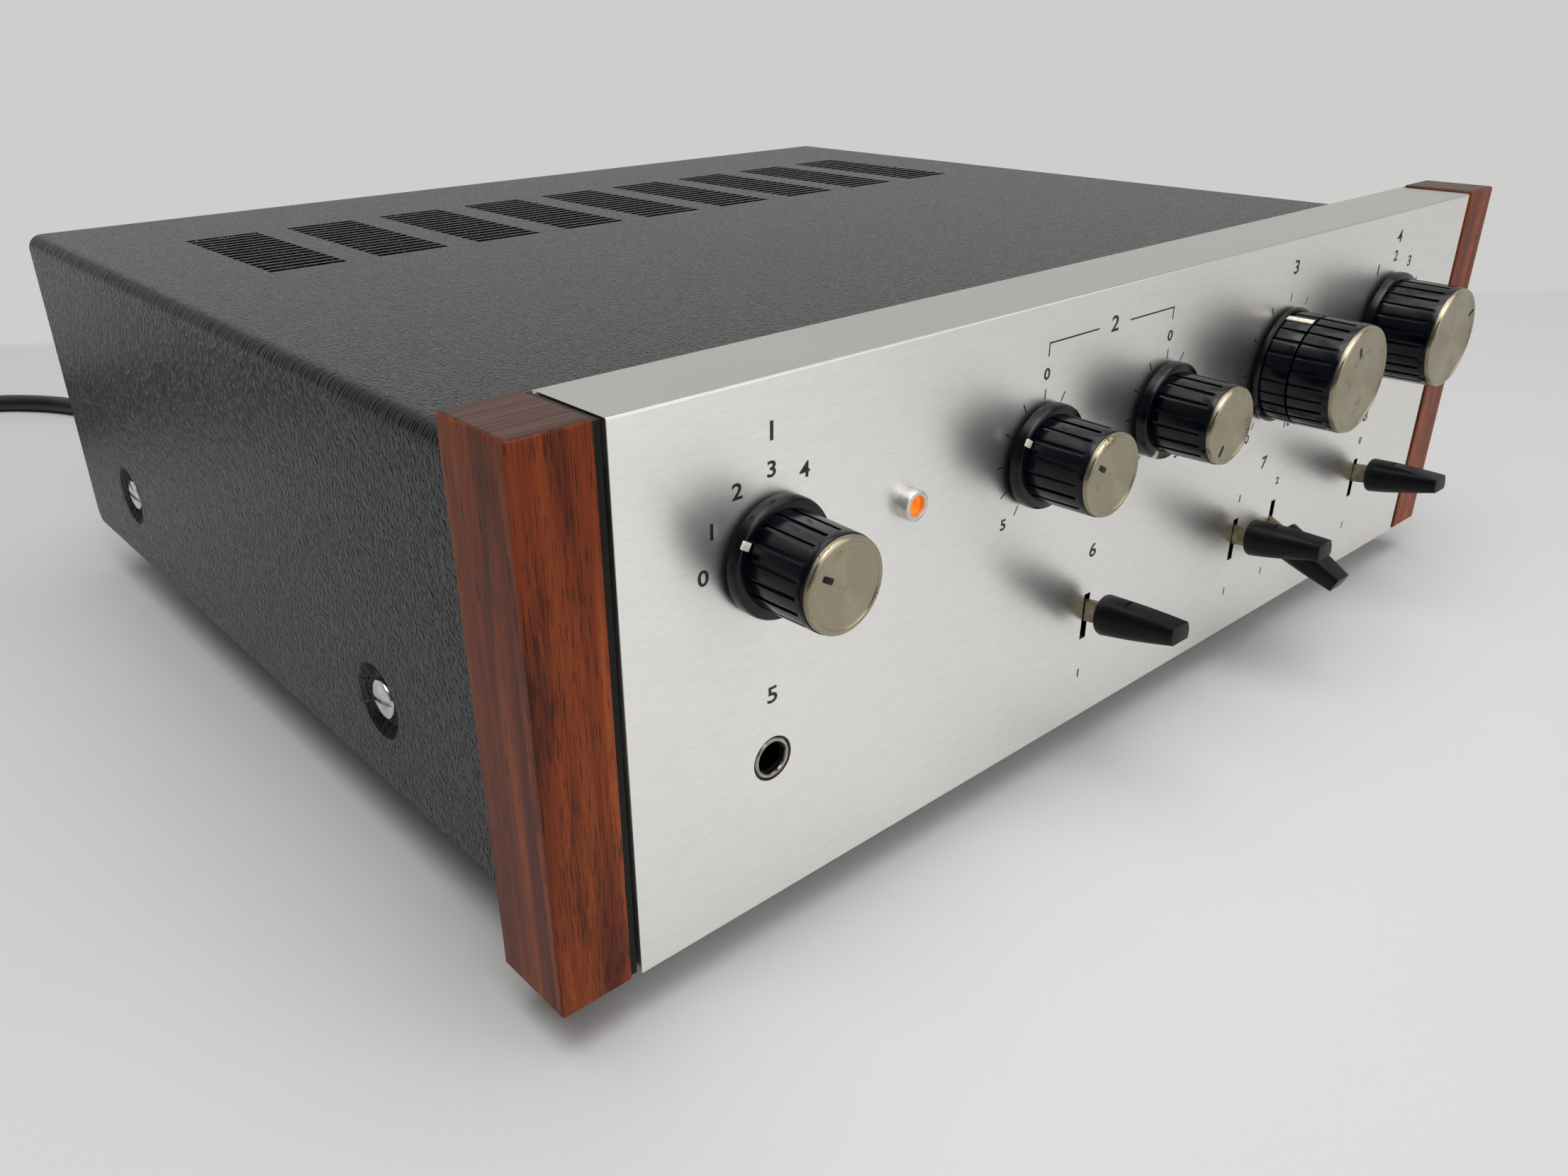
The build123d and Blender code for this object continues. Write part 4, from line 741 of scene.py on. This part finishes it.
def makeKnobBody(name, plan, angle, pivot):
    back, front, skirt = plan["back"], plan["skirtFront"], plan["skirt"]
    profile = [
        (skirt - 0.3, back), (skirt, back + 0.3), (skirt, front - 0.7),
        (skirt - 0.2, front - 0.25), (skirt - 0.7, front), (plan["gripRear"] - 1, front),
    ]
    flange = turnedPiece(name + "_skirt", profile, 128)
    rear, tip, plain = plan["gripRear"], plan["gripFront"], ribPlan["plainRing"]
    grip = ribbedGrip("grip", rear, tip, front - 0.05, plan["length"], plan["ribs"], plain)
    knob = joinPieces(name + "_knob_body", [flange, grip])
    place = onPlate(*pivot.xz)
    finishPiece(knob, place, "glossBlack", name, (name + "_knob",))
    x, y = clock((skirt + rear) / 2 + indexPlan["shift"], angle)
    home = (x, y, front - indexPlan["sunk"])
    mark = roundedBlock(name + "_index", indexPlan["size"], home, -angle, indexPlan["edge"])
    finishPiece(mark, place, "indexWhite", name)


def makeCap(name, radius, length, angle, share, pivot):
    top = length + capPlan["thickness"]
    profile = [
        (radius - 0.1, length - 0.3), (radius, length + 0.1), (radius, top - 0.5),
        (radius - 0.14, top - 0.18), (radius - 0.45, top), (radius - 0.95, top),
        (radius - 1.1, top - 0.16), (radius - 1.35, top - 0.2), (radius * 0.66, top - 0.2),
        (radius * 0.33, top - 0.2), (0.35, top - 0.2),
    ]
    cap = turnedPiece(name + "_cap_disc", profile, 128)
    x, y = clock(radius * share, angle)
    blocks = {}
    for kind, segments in (("cut", 3), ("mark", 2)):
        plan = capPlan[kind]
        home = (x, y, top - plan["sunk"])
        label = name + "_cap_" + kind
        blocks[kind] = roundedBlock(label, plan["size"], home, -angle, plan["edge"], segments)
    cutOut(cap, blocks["cut"])
    # a map that runs out from the axis and round it, for the turned rings
    layer = cap.data.uv_layers.new(name="ring")
    for face in cap.data.polygons:
        middle = math.atan2(face.center.y, face.center.x)
        for index in face.loop_indices:
            point = cap.data.vertices[cap.data.loops[index].vertex_index].co
            around = (math.atan2(point.y, point.x) - middle + math.pi) % math.tau + middle - math.pi
            layer.data[index].uv = (point.xy.length * capPlan["mapScale"], around / math.tau)
    place = onPlate(*pivot.xz)
    finishPiece(cap, place, "spunCap", name, (name + "_knob_cap",), capPlan["smooth"])
    finishPiece(blocks["mark"], place, "satinBlack", name)


for name, (plan, angle, share) in knobPlan.items():
    pivot = pivots[name + "_turn"]
    makeKnobBody(name, plan, angle, pivot)
    makeCap(name, plan["cap"], plan["length"], angle, share, pivot)
print("single knobs made")

# the coaxial pair: balance ring behind, volume in front
ringPlan = {
    "skirt": 14.0, "skirtFront": 2.1, "grip": 13.2, "front": 8.6, "gap": 0.5,
    "bar": {"size": (1.5, 0.5, 6.4), "proud": 0.02, "middle": 5.3}, "angle": -20,
}
volumePlan = {"length": 18.9, "gripFront": 12.9, "angle": -20, "share": 0.58}
pivot = pivots["volume_turn"]
place = onPlate(*pivot.xz)
skirt, skirtFront, ringGrip = ringPlan["skirt"], ringPlan["skirtFront"], ringPlan["grip"]
back, ribs, plain = largeKnob["back"], largeKnob["ribs"], ribPlan["plainRing"]
profile = [
    (skirt - 0.3, back), (skirt, back + 0.3), (skirt, skirtFront - 0.4),
    (skirt - 0.4, skirtFront), (ringGrip - 1, skirtFront),
]
flange = turnedPiece("balance_skirt", profile, 128)
grip = ribbedGrip("grip", ringGrip, ringGrip, skirtFront - 0.05, ringPlan["front"], ribs, 0)
balanceKnob = joinPieces("balance_ring_body", [flange, grip])
finishPiece(balanceKnob, place, "glossBlack", "balance", ("balance_ring",))
bar, angle = ringPlan["bar"], ringPlan["angle"]
home = (*clock(ringGrip + bar["proud"], angle), bar["middle"])
mark = roundedBlock("balance_index", bar["size"], home, -angle, indexPlan["edge"])
finishPiece(mark, place, "indexWhite", "balance")
start, tip, end = ringPlan["front"] + ringPlan["gap"], volumePlan["gripFront"], volumePlan["length"]
volumeKnob = ribbedGrip("volume_knob_body", ringGrip, tip, start, end, ribs, plain)
finishPiece(volumeKnob, place, "glossBlack", "volume", ("volume_knob",))
makeCap("volume", largeKnob["cap"], end, volumePlan["angle"], volumePlan["share"], pivot)
print("coaxial knobs made")

leverPlan = {
    "start": 10.9, "length": 29.9, "baseRadius": 4.7, "tipWidth": 6.8, "tipHeight": 3.8,
    "flatStart": 6.2, "flatStep": 0.35, "cutter": (12, 5, 20),
    "edge": (0.28, 3, 35),  # width, segments, least angle
    "smooth": 30, "angles": {"loudness": 7, "tape_1": 7, "tape_2": -24, "mode": 7},
}


def makeLeverCap(name, angle, pivot):
    start, end, base = leverPlan["start"], leverPlan["length"], leverPlan["baseRadius"]
    tip = leverPlan["tipWidth"] / 2
    profile = [
        (base - 0.6, start), (base - 0.18, start + 0.2), (base, start + 0.6),
        (base - (base - tip) * 0.12, start + 3), (tip, end),
    ]
    cap = turnedPiece(name + "_paddle", profile, 64)
    wedge = base + (tip - base) * leverPlan["flatStart"] / (end - start) - leverPlan["flatStep"]
    low, high = (wedge, start + leverPlan["flatStart"]), (leverPlan["tipHeight"] / 2, end)
    slope = math.atan2(low[0] - high[0], high[1] - low[1])
    size = leverPlan["cutter"]
    for up in (1, -1):
        # the flat from its step to the tip
        cutter = plainBlock("cutter", size, (0, up * size[1] / 2, size[2] / 2))
        place = Matrix.Translation((0, up * mm(low[0]), mm(low[1])))
        cutter.data.transform(place @ Matrix.Rotation(up * slope, 4, "X"))
        cutOut(cap, cutter)
    bevelEdges(cap, *leverPlan["edge"])
    outward = (0, -math.cos(math.radians(angle)), math.sin(math.radians(angle)))
    replaced = (name + "_lever_cap",)
    place = seat(pivot, outward)
    finishPiece(cap, place, "satinBlack", name, replaced, leverPlan["smooth"])


for name, angle in leverPlan["angles"].items():
    makeLeverCap(name, angle, pivots[name + "_flip"])
print("lever caps made")

lampPlan = {
    "outer": 3.0, "inner": 2.0, "length": 2.45, "bore": 1.8, "neck": 2.3, "depth": 6,
    "window": [(1.75, -2.6), (1.9, 1.3), (1.86, 1.5), (1.6, 1.6), (0.9, 1.68), (0.3, 1.7)],
}
lampPlace = onPlate(*middleOf("lamp_bezel").xz)
outer, inner, length, bore, neck, depth, window = lampPlan.values()
profile = [
    (outer, 0), (outer, length - 0.36), (outer - 0.05, length - 0.18),
    (outer - 0.16, length - 0.05), (outer - 0.32, length), (inner + 0.12, length),
    (inner + 0.03, length - 0.04), (inner, length - 0.14), (inner - 0.05, 0.2), (bore, -depth),
    (neck, -depth), (neck, 0), (outer, 0),
]
rim = turnedPiece("lamp_rim", profile)
finishPiece(rim, lampPlace, "satinMetal", "cabinet", ("lamp_bezel",))
lens = turnedPiece("lamp_window", window, 48)
finishPiece(lens, lampPlace, "amber", "cabinet", ("lamp_lens",))

jackPlan = {
    "rim": [
        (4.1, -1.2), (4.1, -0.45), (4.02, -0.15), (3.85, 0.02), (3.6, 0.06), (3.38, -0.02),
        (3.24, -0.25), (3.2, -0.6), (3.2, -1.2), (4.1, -1.2),
    ],
    "lining": [(3.19, -1.3), (3.19, -27.5), (3.05, -27.5), (3.05, -1.3), (3.19, -1.3)],
}
jackPlace = onPlate(pivots["speaker_turn"].x, middleOf("phones_jack").z)
finishPiece(turnedPiece("jack_rim", jackPlan["rim"]), jackPlace, "nickel", "cabinet")
lining = turnedPiece("jack_lining", jackPlan["lining"], 48)
finishPiece(lining, jackPlace, "satinBlack", "cabinet")
print("lamp and jack made")

screwPlan = {
    "head": 4.5,
    "headEdge": (0.08, 2, 50),  # width, segments, least angle
    "slot": {"size": (12, 1.1, 2), "middle": (0, 0, 2.1), "edge": 0.05},
    "shank": [(2.0, 0.1), (2.0, -5), (1.4, -5.6)],
    "turns": {(-1, 0): 8, (-1, 1): -5, (1, 0): 12, (1, 1): -14}, "dimple": 10.6, "edge": 9.4,
    "floor": 5.8, "depth": 2.2,
}
head, dimple, edge, base = [screwPlan[key] for key in ("head", "dimple", "edge", "floor")]
dimpleProfile = [
    (dimple, -0.3), (dimple, 0.01), (edge + 0.5, 0.04), (edge - 0.1, -0.12), (edge - 0.9, -0.55),
    (edge - 2.0, -1.25), (base + 0.7, -1.8), (base, -2.05), (base - 0.9, -2.14), (2.4, -2.16),
    (2.4, -2.3), (base, -2.3), (dimple, -0.3),
]
headProfile = [
    (head - 0.15, 0), (head, 0.2), (head, 0.9), (head - 0.25, 1.35), (head - 0.9, 1.7),
    (head - 2.2, 1.92), (0.5, 2.0),
]
screwLow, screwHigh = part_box("cover_screws")
screwZ = middleOf("cover_screws").z
coverLow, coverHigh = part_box("top_cover")
screws = []
for hand, side in ((-1, "left"), (1, "right")):
    for index, y in enumerate((screwLow.y + mm(head), screwHigh.y - mm(head))):
        wall = coverLow.x if hand < 0 else coverHigh.x
        skin = turnedPiece(f"dimple_{side}_{index + 1}", dimpleProfile)
        finishPiece(skin, seat((wall, y, screwZ), (hand, 0, 0)), "vinyl", "cabinet")
        screw = turnedPiece("head", headProfile)
        slot, turn = screwPlan["slot"], screwPlan["turns"][(hand, index)]
        cutOut(screw, roundedBlock("slot", slot["size"], slot["middle"], turn, slot["edge"]))
        bevelEdges(screw, *screwPlan["headEdge"])
        screw = joinPieces("cover_screw", [screw, turnedPiece("shank", screwPlan["shank"], 32)])
        screw.data.transform(seat((wall - hand * mm(screwPlan["depth"]), y, screwZ), (hand, 0, 0)))
        screws.append(screw)
screwSet = joinPieces("cover_screw_set", screws)
finishPiece(screwSet, None, "brightScrew", "cabinet", ("cover_screws",))
print("cover screws made")

reliefPlan = {
    "flange": 8.4, "neck": (5.3, 6), "root": 6.2, "tip": 4.7, "length": 26.0, "rings": 5,
    "firstRing": 3, "groove": (0.9, 1.1), "mouth": 3.7, "smooth": 40,
}
reliefX = mm(leadPlan["route"][0][0])
reliefY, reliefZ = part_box("cord_relief")[1].y, middleOf("cord_relief").z
flange, root, tip, length = [reliefPlan[key] for key in ("flange", "root", "tip", "length")]
(neck, inside), (deep, wide) = reliefPlan["neck"], reliefPlan["groove"]
profile = [(neck, -inside), (neck, 0), (flange, 0), (flange, 1.6), (flange - 0.5, 2.1)]
for ring in range(reliefPlan["rings"]):
    share = ring / reliefPlan["rings"]
    radius = root + (tip - root) * share
    start = reliefPlan["firstRing"] + share * (length - 4)
    profile += [(radius - deep, start), (radius - deep, start + wide)]
    profile += [(radius, start + 1.5), (radius - 0.1, start + 3.6)]
profile += [(tip - 0.2, length - 0.2), (reliefPlan["mouth"], length + 0.3)]
relief = turnedPiece("lead_relief", profile, 48)
reliefPlace, smooth = seat((reliefX, reliefY - mm(length), reliefZ), (0, 1, 0)), reliefPlan["smooth"]
finishPiece(relief, reliefPlace, "cordSheath", "cabinet", ("cord_relief",), smooth)
plug = refinedCopy("mains_plug", "lead_plug", "satinBlack", "cabinet", smooth)
mainsLead.data.materials.append(finishes["cordSheath"])
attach(mainsLead, "cabinet")
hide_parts("mains_cord", "cord_coil")
print("lead finished")

inkPlan = {
    "thickness": 0.03, "line": 0.32, "lift": 0.01, "bolder": 0.075, "wider": 1.22, "spacing": 1.1,
    "digitShare": 0.72,  # height of a digit in the type's size
    "title": 3.3, "mark": 2.8, "scale": 2.3, "small": 2.0,
    "bracket": {"height": 104.6, "gap": 5.5, "end": 2.8, "drop": 1.2},
}
inkParts = []


def addLine(x, z, width, height, turn=0):
    # a bar on the plate, centred at x and z in millimetres, turned clockwise in degrees
    line = plainBlock("line", (width, height, inkPlan["thickness"]), turn=-turn)
    line.data.transform(onPlate(mm(x), mm(z), inkPlan["lift"]))
    inkParts.append(line)


def addNumber(words, x, z, size):
    clearSelection()
    bpy.ops.object.text_add()
    text = bpy.context.object.data
    text.body = words
    text.align_x = "CENTER"
    text.align_y = "CENTER"
    text.size = mm(size) / inkPlan["digitShare"]
    text.offset = mm(inkPlan["bolder"])
    text.space_character = inkPlan["spacing"]
    text.extrude = mm(inkPlan["thickness"]) / 2
    text.resolution_u = 4
    bpy.ops.object.convert(target="MESH")
    mesh = bpy.context.object.data
    mesh.transform(Matrix.Diagonal((inkPlan["wider"], 1, 1, 1)))
    mesh.transform(onPlate(mm(x), mm(z), inkPlan["lift"]))
    inkParts.append(bpy.context.object)


dials = {name: [part * 1000 for part in pivots[name + "_turn"].xz] for name in [*knobPlan, "volume"]}
for name, inner, outer in (("bass", 11.2, 13.3), ("treble", 11.2, 13.3), ("volume", 15.4, 17.4)):
    for angle in range(-150, 151, 30):
        x, y = clock((inner + outer) / 2, angle)
        addLine(dials[name][0] + x, dials[name][1] + y, inkPlan["line"], outer - inner, angle)
marks = [
    ("speaker", 14.8, {-90: "0", -60: "1", -30: "2", 0: "3", 30: "4"}, inkPlan["mark"]),
    ("selector", 18.6, {-30: "1", 0: "2", 30: "3", 60: "4"}, inkPlan["mark"]),
    ("bass", 16.2, {-142: "5", 0: "0", 142: "5"}, inkPlan["scale"]),
    ("treble", 16.2, {-142: "5", 0: "0", 142: "5"}, inkPlan["scale"]),
    ("volume", 20.0, {-150: "0", 150: "10"}, inkPlan["scale"]),
]
for name, radius, words, size in marks:
    for angle, word in words.items():
        x, y = clock(radius, angle)
        addNumber(word, dials[name][0] + x, dials[name][1] + y, size)
bracket, left, right = inkPlan["bracket"], dials["bass"][0], dials["treble"][0]
half = (right - left) / 2 - bracket["gap"]
for x, hand in ((left, 1), (right, -1)):
    addLine(x, bracket["height"] - bracket["drop"], inkPlan["line"], bracket["end"])
    addLine(x + hand * half / 2, bracket["height"], half, inkPlan["line"])
levers = {name: pivots[name + "_flip"].x * 1000 for name in leverPlan["angles"]}
titles = (
    (dials["speaker"][0], 103.4), ((left + right) / 2, bracket["height"]),
    (dials["volume"][0], 105.5), (dials["selector"][0], 105.8), (dials["speaker"][0], 54.9),
    (levers["loudness"], 53.8), ((levers["tape_1"] + levers["tape_2"]) / 2, 56.0),
    (levers["mode"], 56.0),
)
for number, (x, z) in enumerate(titles, 1):
    addNumber(str(number), x, z, inkPlan["title"])
for x in levers.values():
    addNumber("1", x, 22.5, inkPlan["small"])
for word, x in (("1", levers["tape_1"]), ("2", levers["tape_2"]), ("0", levers["mode"])):
    addNumber(word, x, 48.7, inkPlan["small"])
marksPiece = joinPieces("plate_marks", inkParts)
finishPiece(marksPiece, None, "ink", "cabinet")
print("scale marks made")

roomPlan = {
    "board": "#D0D0D0",
    "boardShade": 0.97, "roughness": 0.45, "specular": 0.25, "mottle": 160,
    "reach": 80,  # metres
    "backdrop": "#CECECD",
    "boardEdge": ((-0.114, 0.620), (0.615, 0.099)),  # metres, y behind the front of the plate
    "edgeBlur": 0.012,
    "fade": (0.5, 1.05),  # metres from the middle of the object
    "horizon": (-0.05, 0.1),
}
lightPlan = {
    "ambient": ("#FFFFFF", 0.11),
    "aim": (0, 0, 0.05),
    "lamps": {
        "ceiling": {"home": (0.05, -0.12, 1.9), "size": 1.9, "power": 20},
        "skylight": {"home": (-0.5, -0.35, 1.7), "size": 1.2, "power": 14},
        "window": {"home": (0.3, -1.35, 0.8), "size": 1.5, "power": 9.2},
        "far": {"home": (1.0, -1.6, 0.9), "size": 1.5, "power": 2.2},
    },
}
left, right = [Vector((x, faceY + y, 0)) for x, y in roomPlan["boardEdge"]]
behind = (left - right).cross(Vector((0, 0, 1))).normalized()  # level, away from the board
middle = (cadLow + cadHigh) / 2
seenBy = ("Is Camera Ray", "Is Glossy Ray", "Is Transmission Ray")

# a white board lies under the object; past its far edge, and far off all round, there is only an even
# pale backdrop, which metal and glass mirror too
values = {"Roughness": roomPlan["roughness"], "Specular IOR Level": roomPlan["specular"]}
kinds = {"mottle": {"Detail": 3.0}}
material, tree, shader, places, noises = newMaterial("painted white board", values, roomPlan, kinds)
colour = linearColour(roomPlan["board"])
values = {"A": colour, "B": [part * roomPlan["boardShade"] for part in colour[:3]] + [1]}
tone = addNode(tree, "Mix", rgba, values, {"Factor": noises["mottle"]})
linkInputs(tree, shader, {"Base Color": tone})
edge = behind.dot(left)
beyond = []
for operation, point, limits in (
    ("DOT_PRODUCT", behind, (edge - roomPlan["edgeBlur"], edge + roomPlan["edgeBlur"])),
    ("DISTANCE", (middle.x, middle.y, 0), roomPlan["fade"]),
):
    links = {0: places["Object"]}
    off = addNode(tree, "VectorMath", {"operation": operation}, {1: point}, links)
    settings = {"interpolation_type": "SMOOTHERSTEP"}
    values = dict(zip(("From Min", "From Max"), limits))
    beyond.append(addNode(tree, "MapRange", settings, values, {"Value": off}))
rays = addNode(tree, "LightPath").outputs
share = addNode(tree, "Math", larger, links={0: rays[seenBy[0]], 1: rays[seenBy[1]]})
share = addNode(tree, "Math", larger, links={0: share, 1: rays[seenBy[2]]})
beyond = addNode(tree, "Math", larger, links={0: beyond[0], 1: beyond[1]})
share = addNode(tree, "Math", product, links={0: share, 1: beyond})
glow = addNode(tree, "Emission", None, {"Color": linearColour(roomPlan["backdrop"])})
mixed = addNode(tree, "MixShader", links={0: share, 1: shader, 2: glow})
ending = [node for node in tree.nodes if node.type == "OUTPUT_MATERIAL"][0]
linkInputs(tree, ending, {"Surface": mixed})
clearSelection()
bpy.ops.mesh.primitive_plane_add(size=roomPlan["reach"], location=(0, 0, 0))
floor = bpy.context.object
floor.name = "floor"
floor.data.materials.append(material)

# the world: the backdrop to the eye, and in mirrors on its far side; a faint even light elsewhere
world = bpy.data.worlds.new("room")
scene.world = world
world.use_nodes = True
tree = world.node_tree
tree.nodes.clear()
aim = addNode(tree, "TexCoord").outputs["Generated"]
settings = {"operation": "DOT_PRODUCT"}
facing = addNode(tree, "VectorMath", settings, {1: behind}, {0: aim})
values = dict(zip(("From Min", "From Max"), roomPlan["horizon"]))
facing = addNode(tree, "MapRange", None, values, {"Value": facing})
rays = addNode(tree, "LightPath").outputs
share = addNode(tree, "Math", product, links={0: rays[seenBy[1]], 1: facing})
for name in (seenBy[0], seenBy[2]):
    share = addNode(tree, "Math", larger, links={0: share, 1: rays[name]})
links = {0: share}
for key, (colour, strength) in enumerate((lightPlan["ambient"], (roomPlan["backdrop"], 1.0)), 1):
    values = {"Color": linearColour(colour), "Strength": strength}
    links[key] = addNode(tree, "Background", None, values)
addNode(tree, "OutputWorld", links={"Surface": addNode(tree, "MixShader", links=links)})
for name, plan in lightPlan["lamps"].items():
    lamp = bpy.data.objects.new(name, bpy.data.lights.new(name, "AREA"))
    scene.collection.objects.link(lamp)
    lamp.data.energy = plan["power"]
    lamp.data.size = plan["size"]
    lamp.location = plan["home"]
    aim = Vector(lightPlan["aim"]) - lamp.location
    lamp.rotation_euler = aim.to_track_quat("-Z", "Y").to_euler()
    lamp.visible_camera = False
scene.view_settings.view_transform = "Standard"
print("room and light made")
